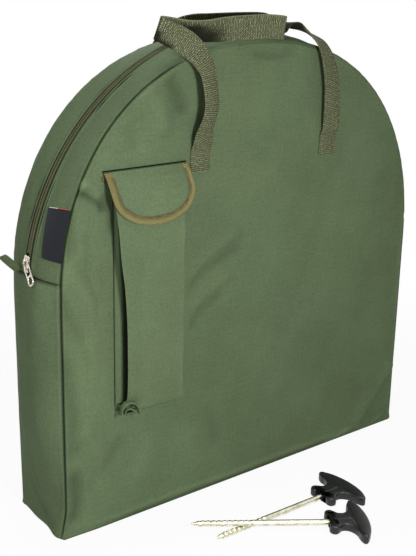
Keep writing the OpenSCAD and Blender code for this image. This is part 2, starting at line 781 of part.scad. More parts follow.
front_panel();
rear_panel_lower();
rear_panel_upper();
base_panel();
side_gusset_left();
side_gusset_right();
zip_gusset_front();
zip_gusset_rear();
zip_tape_front();
zip_tape_rear();
zip_teeth_front();
zip_teeth_rear();
zip_stops();
zip_end_patches();
zip_end_tab();
side_label();
front_seam_tape();
rear_seam_tape_lower();
rear_seam_tape_upper();
front_handle_ends();
front_handle();
rear_handle_ends();
rear_handle();
peg_pocket();
pocket_hem();
pocket_loop_patch();
flap_strip();
pocket_flap();
flap_binding();
flap_hook_patch();
zip_slider();
zip_pull();
hoop_wire();
hoop_sleeve();
netting_bundle();
net_strap();
peg_a_shank();
peg_a_grip();
peg_b_shank();
peg_b_grip();
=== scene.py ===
"""Zipped canvas carry bag with a folded pop-up net, webbing handles and two ground pegs.

Sizes are in millimetres and become metres when a mesh is made. X runs along the bag's
width, -Y is the pocket side and +Z is up.
"""
from __future__ import annotations

import logging
import math
from collections.abc import Callable, Sequence
from dataclasses import dataclass, field, replace
from enum import Enum

import bmesh
import bpy
import numpy as np
from mathutils import Matrix, Vector


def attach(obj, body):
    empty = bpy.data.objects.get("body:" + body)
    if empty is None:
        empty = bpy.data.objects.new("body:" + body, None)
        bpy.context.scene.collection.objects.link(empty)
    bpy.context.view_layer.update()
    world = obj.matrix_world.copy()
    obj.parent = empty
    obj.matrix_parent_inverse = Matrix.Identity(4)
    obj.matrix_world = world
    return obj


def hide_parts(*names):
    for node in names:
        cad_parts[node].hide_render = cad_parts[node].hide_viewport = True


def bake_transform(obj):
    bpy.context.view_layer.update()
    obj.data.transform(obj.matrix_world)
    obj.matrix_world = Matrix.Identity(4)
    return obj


LOG = logging.getLogger("net_bag")
MM = 0.001
# metres below which two points of a seam become one
WELD = 1e-6
Array = np.ndarray
Piece = bpy.types.Object
Triple = tuple[float, float, float]
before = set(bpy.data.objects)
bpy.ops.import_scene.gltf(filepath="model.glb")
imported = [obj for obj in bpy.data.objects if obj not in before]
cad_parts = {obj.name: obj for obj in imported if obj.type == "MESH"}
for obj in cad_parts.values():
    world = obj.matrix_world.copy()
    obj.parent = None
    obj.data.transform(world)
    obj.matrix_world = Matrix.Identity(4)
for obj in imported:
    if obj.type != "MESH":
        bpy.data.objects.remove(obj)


# ---------- numbers along curves ----------


def ease(t: Array | float) -> Array:
    """Returns the smooth step of t held between 0 and 1."""
    c = np.clip(t, 0.0, 1.0)
    return c * c * (3 - 2 * c)


def hump(distance: Array | float, width: float) -> Array:
    """Returns a bell of height 1 that falls off over a width."""
    return np.exp(-((np.asarray(distance, float) / width) ** 2))


def unit(v: Array) -> Array:
    """Returns vectors scaled to length 1 along their last axis."""
    return v / np.maximum(np.linalg.norm(v, axis=-1, keepdims=True), 1e-12)


def scaled(colour: Sequence[float], factors: Sequence[float]) -> tuple[float, ...]:
    """Returns a colour with each of its parts multiplied by a factor of its own."""
    return tuple(c * f for c, f in zip(colour, factors))


def spline(points: Sequence[Sequence[float]], steps: int, closed: bool = False) -> Array:
    """Draws a smooth run through points of any number of columns.

    Args:
        points: Points that the run passes through.
        steps: Samples between two points.
        closed: Whether the last point joins the first.

    Returns:
        The sampled run, with its last point unless it is closed.
    """
    p = np.array(points, float)
    n = len(p)
    out = []
    for i in range(n if closed else n - 1):
        if closed:
            a, b, c, d = p[(i - 1) % n], p[i], p[(i + 1) % n], p[(i + 2) % n]
        else:
            a, b, c, d = p[max(i - 1, 0)], p[i], p[i + 1], p[min(i + 2, n - 1)]
        for t in np.arange(steps) / steps:
            out.append(0.5 * (2 * b + (c - a) * t + (2 * a - 5 * b + 4 * c - d) * t * t
                              + (3 * b - a - 3 * c + d) * t ** 3))
    if not closed:
        out.append(p[-1])
    return np.array(out)


def columns(*parts: Array | float) -> Array:
    """Returns coordinates side by side along a new last axis; a number fills its column."""
    return np.stack(np.broadcast_arrays(*parts), axis=-1)


def lattice(x: tuple[float, float, int], z: tuple[float, float, int]) -> tuple[Array, Array]:
    """Returns the coordinates of a grid from a start, an end and a count for each direction."""
    return np.meshgrid(np.linspace(*x), np.linspace(*z))


def round_about(count: int) -> Array:
    """Returns a number of directions, in radians, spread evenly round a circle."""
    return np.arange(count) / count * 2 * math.pi


def travelled(points: Array) -> Array:
    """Returns the distance along a run at each of its points."""
    steps = np.linalg.norm(np.diff(points, axis=0), axis=1)
    return np.concatenate([[0.0], np.cumsum(steps)])


def resampled(points: Array, count: int) -> Array:
    """Returns a run of the same course with a number of evenly spaced points."""
    s = travelled(points)
    at = np.linspace(0, s[-1], count)
    return columns(*(np.interp(at, s, column) for column in points.T))


def respaced(points: Array, spacing: float) -> Array:
    """Returns a run of the same course with even steps of about a spacing."""
    return resampled(points, max(2, int(round(travelled(points)[-1] / spacing)) + 1))


def waves(x: Array, z: Array, pitch: float, seed: int, count: int = 5) -> Array:
    """Sums soft sine waves in fixed random directions.

    Args:
        x: First coordinate in millimetres.
        z: Second coordinate in millimetres.
        pitch: Typical distance between two crests.
        seed: Seed of the directions.
        count: Number of waves.

    Returns:
        Heights of about -1 to 1.
    """
    rng = np.random.default_rng(seed)
    total = np.zeros_like(np.asarray(x, float))
    for _ in range(count):
        turn, phase = rng.uniform(0, 2 * math.pi, 2)
        k = 2 * math.pi / (pitch * rng.uniform(0.7, 1.5))
        total = total + np.sin(k * (x * math.cos(turn) + z * math.sin(turn)) + phase)
    return total / math.sqrt(count)


def polyline_reach(x: Array, z: Array, line: Sequence[Sequence[float]]) -> tuple[Array, Array, Array]:
    """Measures points against a polyline in the plane.

    Args:
        x: First coordinates.
        z: Second coordinates.
        line: Corners of the polyline.

    Returns:
        Distance to the line, signed distance (positive on its right), and the share of
        the line's length that is passed.
    """
    best = np.full(np.shape(x), 1e9)
    signed = np.zeros(np.shape(x))
    share = np.zeros(np.shape(x))
    corners = np.array(line, float)
    lengths = travelled(corners)
    for i in range(len(corners) - 1):
        a, b = corners[i], corners[i + 1]
        d = b - a
        t = np.clip(((x - a[0]) * d[0] + (z - a[1]) * d[1]) / (d @ d), 0, 1)
        dx, dz = x - a[0] - t * d[0], z - a[1] - t * d[1]
        dist = np.hypot(dx, dz)
        side = np.sign(dx * d[1] - dz * d[0])
        near = dist < best
        best = np.where(near, dist, best)
        signed = np.where(near, dist * side, signed)
        run = (lengths[i] + t * (lengths[i + 1] - lengths[i])) / lengths[-1]
        share = np.where(near, run, share)
    return best, signed, share


# ---------- meshes ----------


@dataclass
class Parts:
    """Points, faces, corner UVs and painted shading that grow into one mesh, in millimetres."""

    points: list[Array] = field(default_factory=list)
    faces: list[tuple[int, ...]] = field(default_factory=list)
    corners: list[tuple[float, float]] = field(default_factory=list)
    wear: list[Array] = field(default_factory=list)
    count: int = 0

    def add_points(self, points: Array, wear: Array | float = 0.0) -> int:
        """Adds points.

        Args:
            points: Points as rows of three numbers.
            wear: Painted highlight (above 0) or painted shade (below 0) of each point, or of all.

        Returns:
            The index of the first point added.
        """
        flat = np.asarray(points, float).reshape(-1, 3)
        first = self.count
        self.points.append(flat)
        self.wear.append(np.broadcast_to(np.asarray(wear, float).ravel(), len(flat)))
        self.count += len(flat)
        return first

    def face(self, corners: Sequence[int], uv: Sequence[Sequence[float]]) -> None:
        """Adds one face by its point indices, with a UV for each corner."""
        self.faces.append(tuple(int(c) for c in corners))
        self.corners.extend((float(u[0]), float(u[1])) for u in uv)

    def grid(self, rows: Array, uv: Array, wrap: bool = False, flip: bool = False,
             wear: Array | float = 0.0) -> int:
        """Adds a grid of quads.

        Args:
            rows: Points in an array of rows, columns and three coordinates.
            uv: UVs in an array of rows, columns (one more if it wraps) and two.
            wrap: Whether the last column joins the first.
            flip: Whether the faces turn the other way.
            wear: Painted shading of each point.

        Returns:
            The index of the first point of the grid.
        """
        n, m = rows.shape[:2]
        first = self.add_points(rows, wear)
        for i in range(n - 1):
            for j in range(m if wrap else m - 1):
                k = (j + 1) % m
                quad = [(i, j, j), (i, k, j + 1), (i + 1, k, j + 1), (i + 1, j, j)]
                if flip:
                    quad.reverse()
                self.face([first + r * m + c for r, c, _ in quad], [uv[r, c] for r, _, c in quad])
        return first

    def ribbon(self, a: Sequence[int], b: Sequence[int], closed: bool = False) -> None:
        """Joins two runs of point indices with quads.

        Args:
            a: First run.
            b: Second run, of the same length.
            closed: Whether the runs are loops.
        """
        n = len(a)
        for i in range(n if closed else n - 1):
            k = (i + 1) % n
            self.face([a[i], a[k], b[k], b[i]], [(0, 0)] * 4)

    def cap(self, loop: Sequence[int]) -> None:
        """Closes a loop of point indices with triangles round its middle."""
        every = np.concatenate(self.points)
        middle = self.add_points(every[list(loop)].mean(axis=0)[None])
        for i, a in enumerate(loop):
            self.face([a, loop[(i + 1) % len(loop)], middle], [(0, 0)] * 3)

    def sheet(self, outer: Array, inner: Array, uv: Array, wear: Array | float = 0.0) -> None:
        """Adds two grids of one size that are joined all round.

        Args:
            outer: Points of the outer face.
            inner: Points of the inner face.
            uv: UVs of both.
            wear: Painted shading of both.
        """
        a = self.grid(outer, uv, wear=wear)
        b = self.grid(inner, uv, flip=True, wear=wear)
        index = np.arange(outer.shape[0] * outer.shape[1]).reshape(outer.shape[:2])
        for run in (index[0], index[:, -1], index[-1, ::-1], index[::-1, 0]):
            self.ribbon(a + run, b + run)

    def tube(self, rings: Array, uv: Array | None = None) -> None:
        """Adds rings that are joined into a tube with closed ends.

        Args:
            rings: Points by ring.
            uv: UVs with one column more than the rings, measured if None.
        """
        n, m = rings.shape[:2]
        first = self.grid(rings, ring_uv(rings) if uv is None else uv, wrap=True)
        self.cap([first + j for j in range(m)])
        self.cap([first + (n - 1) * m + j for j in range(m - 1, -1, -1)])

    def make(self, name: str, sharp: float = 45.0, weld: float = 0.0) -> Piece:
        """Makes the object, with normals pointing outwards.

        Args:
            name: Name of the piece.
            sharp: Angle in degrees above which an edge shades sharp.
            weld: Distance in metres below which points become one.

        Returns:
            The new object, linked to the scene.
        """
        mesh = bpy.data.meshes.new(name)
        mesh.from_pydata((np.concatenate(self.points) * MM).tolist(), [], self.faces)
        layer = mesh.uv_layers.new(name="cloth")
        layer.data.foreach_set("uv", (np.array(self.corners, np.float32) * MM).ravel())
        set_painted_shading(mesh, np.concatenate(self.wear))
        mesh.update()
        mend(mesh, sharp, weld)
        return linked(name, mesh)


def linked(name: str, data: bpy.types.ID) -> Piece:
    """Makes an object of its data and links it to the scene."""
    piece = bpy.data.objects.new(name, data)
    bpy.context.scene.collection.objects.link(piece)
    return piece


def mend(mesh: bpy.types.Mesh, sharp: float, weld: float = 0.0) -> None:
    """Turns a mesh's faces outwards and shades it.

    Args:
        mesh: The mesh.
        sharp: Angle in degrees above which an edge shades sharp.
        weld: Distance in metres below which points become one.
    """
    work = bmesh.new()
    work.from_mesh(mesh)
    if weld:
        bmesh.ops.remove_doubles(work, verts=work.verts, dist=weld)
    bmesh.ops.recalc_face_normals(work, faces=work.faces)
    work.to_mesh(mesh)
    work.free()
    mesh.shade_smooth()
    mesh.set_sharp_from_angle(angle=math.radians(sharp))


def set_painted_shading(mesh: bpy.types.Mesh, wear: Array) -> None:
    """Stores the painted shading of a mesh's points, from -1 for painted shade to 1 for a painted highlight.
    """
    layer = mesh.attributes.get("wear") or mesh.attributes.new("wear", "FLOAT", "POINT")
    layer.data.foreach_set("value", wear.astype(np.float32))


def points_of(piece: Piece) -> Array:
    """Returns a piece's points in millimetres."""
    place = np.zeros(len(piece.data.vertices) * 3, np.float32)
    piece.data.vertices.foreach_get("co", place)
    return place.reshape(-1, 3) / MM


def uv_of(rows: Array) -> Array:
    """Returns UVs in millimetres measured along the rows and columns of a grid."""
    across = np.zeros(rows.shape[:2])
    across[:, 1:] = np.cumsum(np.linalg.norm(np.diff(rows, axis=1), axis=2), axis=1)
    along = np.zeros(rows.shape[:2])
    along[1:] = np.cumsum(np.linalg.norm(np.diff(rows, axis=0), axis=2), axis=0)
    return columns(across, along)


def ring_uv(rows: Array) -> Array:
    """Returns UVs in millimetres for a grid whose last column joins the first."""
    return uv_of(np.concatenate([rows, rows[:, :1]], axis=1))


def grid_normals(rows: Array) -> Array:
    """Returns unit normals of a grid, by its columns crossed with its rows."""
    du = np.gradient(rows, axis=1)
    dv = np.gradient(rows, axis=0)
    return unit(np.cross(du, dv))


def skin(name: str, outer: Array, thickness: float, wear: Array | float = 0.0,
         inward: float = 1.0) -> Piece:
    """Makes a closed cloth skin from a grid of its outer face.

    Args:
        name: Name of the piece.
        outer: Grid of points on the outer face.
        thickness: Thickness of the cloth.
        wear: Painted shading of each point.
        inward: 1 if the grid's normals point out of the cloth's outer face, else -1.

    Returns:
        The new object.
    """
    parts = Parts()
    parts.sheet(outer, outer - grid_normals(outer) * thickness * inward, uv_of(outer), wear)
    return parts.make(name)


def sweep(name: str, centres: Array, across: Array, profile: Array, closed: bool = False,
          sharp: float = 45.0) -> Piece:
    """Sweeps a closed profile along a run.

    Args:
        name: Name of the piece.
        centres: Points of the run.
        across: Direction of the profile's first axis, at each point or all along.
        profile: Points of the profile as [along the first axis, along the second].
        closed: Whether the run is a loop.
        sharp: Angle in degrees above which an edge shades sharp.

    Returns:
        The new object.
    """
    if closed:
        along = unit(np.roll(centres, -1, axis=0) - np.roll(centres, 1, axis=0))
    else:
        along = unit(np.gradient(centres, axis=0))
    w = unit(across - along * np.sum(across * along, axis=1, keepdims=True))
    out = np.cross(along, w)
    rows = centres[:, None] + w[:, None] * profile[None, :, :1] + out[:, None] * profile[None, :, 1:]
    girth = travelled(np.concatenate([profile, profile[:1]]))
    uv = columns(girth[None, :], travelled(centres)[:, None])
    parts = Parts()
    if not closed:
        parts.tube(rows, uv)
        return parts.make(name, sharp)
    last = uv[-1:] + [0, np.linalg.norm(centres[0] - centres[-1])]
    parts.grid(np.concatenate([rows, rows[:1]]), np.concatenate([uv, last]), wrap=True)
    return parts.make(name, sharp, WELD)


def flat_profile(width: float, thickness: float) -> Array:
    """Returns the outline of a flat band with rounded edges, wide along its first axis."""
    w, t = width / 2, thickness / 2
    right = [(w - t * 0.7, t), (w - t * 0.2, t * 0.7), (w, 0), (w - t * 0.2, -t * 0.7), (w - t * 0.7, -t)]
    left = [(-x, -y) for x, y in right]
    return np.array(right + [(w / 3, -t), (-w / 3, -t)] + left + [(-w / 3, t), (w / 3, t)])


def round_profile(radius: float, sides: int, flatten: float = 1.0) -> Array:
    """Returns a circle, or an oval if it is flattened along its second axis."""
    a = round_about(sides)
    return columns(np.cos(a) * radius, -np.sin(a) * radius * flatten)


def disc_sheet(name: str, rim: Array, middle: Sequence[float], rings: Sequence[float],
               face: Callable[[Array, Array, Array], tuple[Array, Array]], thickness: float,
               outward: float) -> Piece:
    """Makes a closed sheet of cloth from rings that shrink from its rim to a middle point.

    Args:
        name: Name of the piece.
        rim: Points of the rim as [x, z].
        middle: Where the rings end, as [x, z].
        rings: Shares of the way to the middle, from 0 to below 1.
        face: Gives y and painted shading of the outer face at x, z and the distance from the rim.
        thickness: Thickness of the cloth.
        outward: Sign of y on the outer side.

    Returns:
        The new object.
    """
    centre = np.array(middle, float)
    t = np.array(rings)[:, None, None]
    flat = rim[None] * (1 - t) + centre * t
    reach = np.linalg.norm(rim - centre, axis=1)[None] * t[..., 0]
    y, wear = face(flat[..., 0], flat[..., 1], reach)
    outer = columns(flat[..., 0], y, flat[..., 1])
    inner = outer - np.array([0, outward * thickness, 0])
    parts = Parts()
    m = len(rim)
    uv = np.concatenate([flat, flat[:, :1]], axis=1)
    a = parts.grid(outer, uv, wrap=True, wear=wear)
    b = parts.grid(inner, uv, wrap=True, flip=True, wear=wear)
    parts.ribbon([a + j for j in range(m)], [b + j for j in range(m)], closed=True)
    last = (len(t) - 1) * m
    for base, grid in ((a, outer), (b, inner)):
        pole = parts.add_points(grid[-1].mean(axis=0)[None])
        for j in range(m):
            k = (j + 1) % m
            parts.face([base + last + j, base + last + k, pole],
                       [flat[-1, j], flat[-1, k], centre])
    return parts.make(name)


def rounded_slab(name: str, outline: Array, half: float, edge: float) -> Piece:
    """Makes a flat slab in the XY plane with rounded edges.

    Args:
        name: Name of the piece.
        outline: Outline as [x, y], anticlockwise.
        half: Half the slab's thickness.
        edge: Radius of its edges.

    Returns:
        The new object.
    """
    along = unit(np.roll(outline, -1, axis=0) - np.roll(outline, 1, axis=0))
    out = columns(along[:, 1], -along[:, 0])
    angles = np.radians([90, 66, 45, 24, 0, 0, -24, -45, -66, -90])
    rows = []
    for i, a in enumerate(angles):
        x, y = (outline - out * edge * (1 - math.cos(a))).T
        level = half - edge if i < 5 else edge - half
        rows.append(columns(x, y, level + edge * math.sin(a)))
    rows = np.array(rows)
    parts = Parts()
    first = parts.grid(rows, ring_uv(rows), wrap=True)
    m = len(outline)
    for ring in (0, len(rows) - 1):
        loop = [first + ring * m + j for j in range(m)]
        parts.face(loop if ring else loop[::-1], [(0, 0)] * m)
    return parts.make(name, 40.0)


def placed(piece: Piece, matrix: Matrix) -> Piece:
    """Moves a mesh's points by a matrix in metres, and returns the piece."""
    piece.data.transform(matrix)
    return piece


# ---------- shader maths ----------


class Link:
    """A shader socket on which maths is written as plain expressions."""

    def __init__(self, board: Board, socket: bpy.types.NodeSocket) -> None:
        """Keeps the board and the socket."""
        self.board = board
        self.socket = socket

    def math(self, operation: str, *others: Link | float, swap: bool = False) -> Link:
        """Adds a Math node.

        Args:
            operation: Name of the operation.
            others: Other operands.
            swap: Whether the first two operands change places.

        Returns:
            The node's result.
        """
        values = [self, *others]
        if swap:
            values.reverse()
        return self.board.make("Math", dict(enumerate(values)), operation=operation)

    def __add__(self, o: Link | float) -> Link:
        """Returns the sum."""
        return self.math("ADD", o)

    def __sub__(self, o: Link | float) -> Link:
        """Returns the difference."""
        return self.math("SUBTRACT", o)

    def __rsub__(self, o: Link | float) -> Link:
        """Returns the difference from a number."""
        return self.math("SUBTRACT", o, swap=True)

    def __mul__(self, o: Link | float) -> Link:
        """Returns the product."""
        return self.math("MULTIPLY", o)

    def __truediv__(self, o: Link | float) -> Link:
        """Returns the quotient."""
        return self.math("DIVIDE", o)

    def __pow__(self, o: Link | float) -> Link:
        """Returns the power."""
        return self.math("POWER", o)

    __radd__ = __add__
    __rmul__ = __mul__

    def sin(self) -> Link:
        """Returns the sine."""
        return self.math("SINE")

    def abs(self) -> Link:
        """Returns the absolute value."""
        return self.math("ABSOLUTE")

    def step(self, low: float, high: float) -> Link:
        """Returns a smooth step from 0 at low to 1 at high."""
        return self.board.make("MapRange", {"Value": self, "From Min": low, "From Max": high},
                               interpolation_type="SMOOTHSTEP")


class Board:
    """The node board of a new material, or of the world."""

    def __init__(self, name: str, world: bpy.types.World | None = None) -> None:
        """Empties the board and adds its output node."""
        self.owner = world or bpy.data.materials.new(name)
        self.owner.use_nodes = True
        self.tree = self.owner.node_tree
        self.tree.nodes.clear()
        self.output = self.tree.nodes.new("ShaderNodeOutput" + ("World" if world else "Material"))

    def make(self, kind: str, inputs: dict | None = None, output: str | int = 0,
             **settings: object) -> Link:
        """Adds a shader node.

        Args:
            kind: Type of the node.
            inputs: Values or links by socket name or index.
            output: Which of its sockets is returned.
            settings: Properties that are set first.

        Returns:
            The chosen output.
        """
        node = self.tree.nodes.new("ShaderNode" + kind)
        for key, value in settings.items():
            setattr(node, key, value)
        for key, value in (inputs or {}).items():
            if isinstance(value, Link):
                self.tree.links.new(value.socket, node.inputs[key])
            else:
                node.inputs[key].default_value = value
        return Link(self, node.outputs[output])

    def end(self, shader: Link) -> None:
        """Joins the last shader to the output."""
        self.tree.links.new(shader.socket, self.output.inputs["Surface"])

    def uv(self) -> tuple[Link, Link, Link]:
        """Returns the piece's UV as a vector and its two parts, in metres."""
        vector = self.make("UVMap", uv_map="cloth")
        parts = self.make("SeparateXYZ", {0: vector}).socket.node.outputs
        return vector, Link(self, parts[0]), Link(self, parts[1])

    def place(self) -> Link:
        """Returns Object coordinates."""
        return self.make("TexCoord", output="Object")

    def wear(self) -> Link:
        """Returns the piece's painted shading, from -1 for painted shade to 1 for a painted highlight."""
        return self.make("Attribute", output="Fac", attribute_name="wear")

    def clean(self, wear: Link, loss: float) -> Link:
        """Returns a gain that drops from 1 by a loss where shade is painted."""
        return 1 - (0 - wear).step(0, 1) * loss

    def noise(self, vector: Link, scale: float, detail: float = 2.0,
              stretch: Triple | None = None) -> Link:
        """Adds a noise pattern.

        Args:
            vector: Coordinates in metres.
            scale: Features in a metre.
            detail: Finer octaves.
            stretch: Scale along each axis, or None.

        Returns:
            A value from 0 to 1.
        """
        if stretch:
            vector = self.make("Mapping", {"Vector": vector, "Scale": stretch})
        return self.make("TexNoise", {"Vector": vector, "Scale": scale, "Detail": detail}, "Fac")

    def mix(self, factor: Link | float, a: Link | tuple, b: Link | tuple,
            blend: str = "MIX") -> Link:
        """Mixes two colours.

        Args:
            factor: Share of the second.
            a: First colour.
            b: Second colour.
            blend: Way of mixing.

        Returns:
            The mixed colour.
        """
        first, second = (c if isinstance(c, Link) else (*c, 1.0) for c in (a, b))
        return self.make("Mix", {0: factor, 6: first, 7: second}, 2, data_type="RGBA", blend_type=blend)

    def shade(self, colour: Link | tuple, gain: Link) -> Link:
        """Returns a colour made lighter or darker by a factor."""
        return self.mix(1.0, colour, self.make("CombineColor", {0: gain, 1: gain, 2: gain}), "MULTIPLY")

    def bump(self, height: Link, depth: float, strength: float = 1.0) -> Link:
        """Returns a normal bent by a height of 0 to 1 that stands for a depth in millimetres."""
        return self.make("Bump", {"Height": height, "Distance": depth * MM, "Strength": strength})

    def finish(self, colour: Link, roughness: Link | float, normal: Link, metallic: float = 0.0,
               **plain: float) -> bpy.types.Material:
        """Adds the surface shader.

        Args:
            colour: Base colour.
            roughness: Roughness.
            normal: Bent normal.
            metallic: 1 for metal.
            plain: Other sockets of the shader by name, spaces as underscores.

        Returns:
            The finished material.
        """
        inputs = {"Base Color": colour, "Roughness": roughness, "Metallic": metallic, "Normal": normal}
        inputs.update({k.replace("_", " "): v for k, v in plain.items()})
        self.end(self.make("BsdfPrincipled", inputs))
        return self.owner


# ---------- finishes ----------


@dataclass(frozen=True)
class Canvas:
    """Coated olive canvas: a fine plain weave with slubs and blotches, with painted highlights on ridges and
    painted shade in seams and creases.
    """

    name: str = "canvas"
    colour: Triple = (0.121, 0.159, 0.080)
    thread: float = 1.1
    lift: float = 0.10

    def make(self) -> bpy.types.Material:
        """Returns the material."""
        b = Board(self.name)
        vector, u, v = b.uv()
        k = math.pi / (self.thread * MM)
        weave = (u * k).sin() * (v * k).sin()
        fibres = b.noise(vector, 900, 3)
        warp = b.noise(vector, 60, 2, (9, 0.6, 1))
        weft = b.noise(vector, 60, 2, (0.6, 9, 1))
        mottle = b.noise(vector, 330, 2)
        blotch = b.noise(vector, 9, 3)
        broad = b.noise(vector, 2.6, 1)
        wear = b.wear()
        gain = (1 + weave * 0.08 + (warp - 0.5) * 0.24 + (weft - 0.5) * 0.26 + (mottle - 0.5) * 0.56
                + (fibres - 0.5) * 0.3 + (blotch - 0.5) * 0.42 + (broad - 0.5) * 0.3)
        base = b.mix(b.noise(vector, 5, 2), self.colour, scaled(self.colour, (0.93, 1.02, 1.1)))
        # painted highlight where the shading is above 0, painted shade where it is below 0
        colour = b.mix(wear.step(0, 1) * 0.45, b.shade(base, gain * b.clean(wear, 0.92)),
                       scaled(self.colour, (1.75, 1.6, 1.8)))
        height = weave * 0.35 + fibres * 0.35 + warp * 0.2 + weft * 0.16
        return b.finish(colour, 0.72 + (fibres - 0.5) * 0.16, b.bump(height, self.lift * 2.2, 0.8),
                        Specular_IOR_Level=0.04)


@dataclass(frozen=True)
class Webbing:
    """Ribbed webbing: staggered picks across its width, paler selvages and stray fibres."""

    name: str = "webbing"
    colour: Triple = (0.114, 0.138, 0.077)
    pale: Triple = (0.330, 0.335, 0.195)
    width: float = 30.0
    pick: float = 2.5
    rib: float = 3.2

    def make(self) -> bpy.types.Material:
        """Returns the material."""
        b = Board(self.name)
        vector, u, v = b.uv()
        ribs = (u * (2 * math.pi / (self.rib * MM))).sin()
        lean = v + ribs * (0.22 * self.pick * MM)
        picks = (lean * (2 * math.pi / (self.pick * MM))).sin() * 0.5 + 0.5
        height = picks ** 0.8
        fibres = b.noise(vector, 1100, 3)
        gain = 0.18 + height * 1.12 + (fibres - 0.5) * 0.9 + (b.noise(vector, 35, 3) - 0.5) * 0.45
        wear = b.wear()
        speckle = (b.noise(vector, 420, 1) - 0.42).step(0, 0.25)
        selvage = ((u / (self.width * MM) - 0.5).abs() * 2).step(0.92, 0.985)
        # painted shade from the strap's painted shading darkens both its pale picks and its ground
        light = (picks ** 2.0 * speckle * 1.35 + selvage * 0.6) * b.clean(wear, 1.0)
        ground = b.mix(b.noise(vector, 22, 2), self.colour, scaled(self.colour, (1.12, 0.98, 0.9)))
        colour = b.mix(light.math("MINIMUM", 1.0), b.shade(ground, gain * b.clean(wear, 0.85)), self.pale)
        normal = b.bump(height + ribs * 0.2 + fibres * 0.3, 0.5, 0.9)
        return b.finish(colour, 0.7, normal, Specular_IOR_Level=0.07)


@dataclass(frozen=True)
class Tape:
    """Narrow woven tape: bindings, zip tape and seam tape in their own colours."""

    name: str
    colour: Triple
    pitch: float = 1.0
    twill: float = 0.6
    contrast: float = 0.35
    lift: float = 0.22

    def make(self) -> bpy.types.Material:
        """Returns the material."""
        b = Board(self.name)
        vector, u, v = b.uv()
        k = 2 * math.pi / (self.pitch * MM)
        lines = ((u * self.twill + v) * k).sin() * 0.5 + 0.5
        cross = (u * k * 0.5).sin() * 0.5 + 0.5
        fibres = b.noise(vector, 1000, 3)
        patch = b.noise(vector, 55, 3)
        gain = (1 - self.contrast * 0.5 + lines * self.contrast + (cross - 0.5) * 0.12
                + (fibres - 0.5) * 0.3 + (patch - 0.5) * 0.45)
        base = b.mix(patch, self.colour, scaled(self.colour, (0.9, 0.95, 1.05)))
        normal = b.bump(lines * 0.7 + cross * 0.2 + fibres * 0.4, self.lift, 0.9)
        # painted shade from the piece's painted shading darkens the tape
        return b.finish(b.shade(base, gain * b.clean(b.wear(), 0.85)), 0.72, normal,
                        Specular_IOR_Level=0.07)


@dataclass(frozen=True)
class Thread:
    """Twisted sewing thread."""

    name: str
    colour: Triple

    def make(self) -> bpy.types.Material:
        """Returns the material."""
        b = Board(self.name)
        fine = b.noise(b.place(), 1800, 2)
        return b.finish(b.shade(self.colour, 0.75 + fine * 0.5), 0.5, b.bump(fine, 0.1),
                        Specular_IOR_Level=0.4)


@dataclass(frozen=True)
class Metal:
    """Plated or drawn metal with fine polishing lines, dull specks and small dents."""

    name: str
    colour: Triple
    tint: Triple
    roughness: float = 0.2
    line: Triple = (1, 1, 14)
    grime: float = 0.25

    def make(self) -> bpy.types.Material:
        """Returns the material."""
        b = Board(self.name)
        place = b.place()
        lines = b.noise(place, 260, 3, self.line)
        cloud = b.noise(place, 140, 3)
        specks = (b.noise(place, 700, 2) - 0.55).step(0, 0.15)
        colour = b.mix(cloud.step(0.35, 0.7), self.colour, self.tint)
        gain = 1 - specks * self.grime - (cloud - 0.5) * 0.16
        rough = self.roughness + (lines - 0.5) * 0.14 + specks * 0.2 + (cloud - 0.5) * 0.1
        return b.finish(b.shade(colour, gain), rough, b.bump(lines * 0.6 + cloud * 0.5, 0.05, 0.7), 1.0)


@dataclass(frozen=True)
class Moulded:
    """Moulded plastic with a spark-eroded grain, rubbed smoother and paler in places."""

    name: str
    colour: Triple
    roughness: float = 0.48

    def make(self) -> bpy.types.Material:
        """Returns the material."""
        b = Board(self.name)
        place = b.place()
        grain = b.noise(place, 1500, 2)
        cloud = b.noise(place, 45, 3)
        rubbed = (b.noise(place, 120, 3, (1, 4, 1)) - 0.52).step(0, 0.2)
        gain = 0.9 + (cloud - 0.5) * 0.5 + rubbed * 0.35 + (grain - 0.5) * 0.3
        rough = self.roughness + (cloud - 0.5) * 0.2 - rubbed * 0.1
        return b.finish(b.shade(self.colour, gain), rough, b.bump(grain, 0.05, 0.8),
                        Specular_IOR_Level=0.45)


@dataclass(frozen=True)
class Satin:
    """Woven satin or fuzzy pile in a dark colour."""

    name: str
    colour: Triple
    fuzz: float = 0.0
    roughness: float = 0.5

    def make(self) -> bpy.types.Material:
        """Returns the material."""
        b = Board(self.name)
        vector, _, v = b.uv()
        lines = (v * (2 * math.pi / (0.5 * MM))).sin() * 0.5 + 0.5
        pile = b.noise(vector, 900, 4)
        cloud = b.noise(vector, 60, 2)
        gain = 0.82 + lines * 0.2 + (pile - 0.5) * (0.5 + self.fuzz) + (cloud - 0.5) * 0.4
        height = lines * (0.5 - 0.4 * self.fuzz) + pile * (0.3 + self.fuzz)
        return b.finish(b.shade(self.colour, gain), self.roughness,
                        b.bump(height, 0.12 + 0.8 * self.fuzz), Specular_IOR_Level=0.2,
                        Sheen_Weight=0.04 + 0.4 * self.fuzz, Sheen_Roughness=0.4)


MADE: dict[Enum, bpy.types.Material] = {}


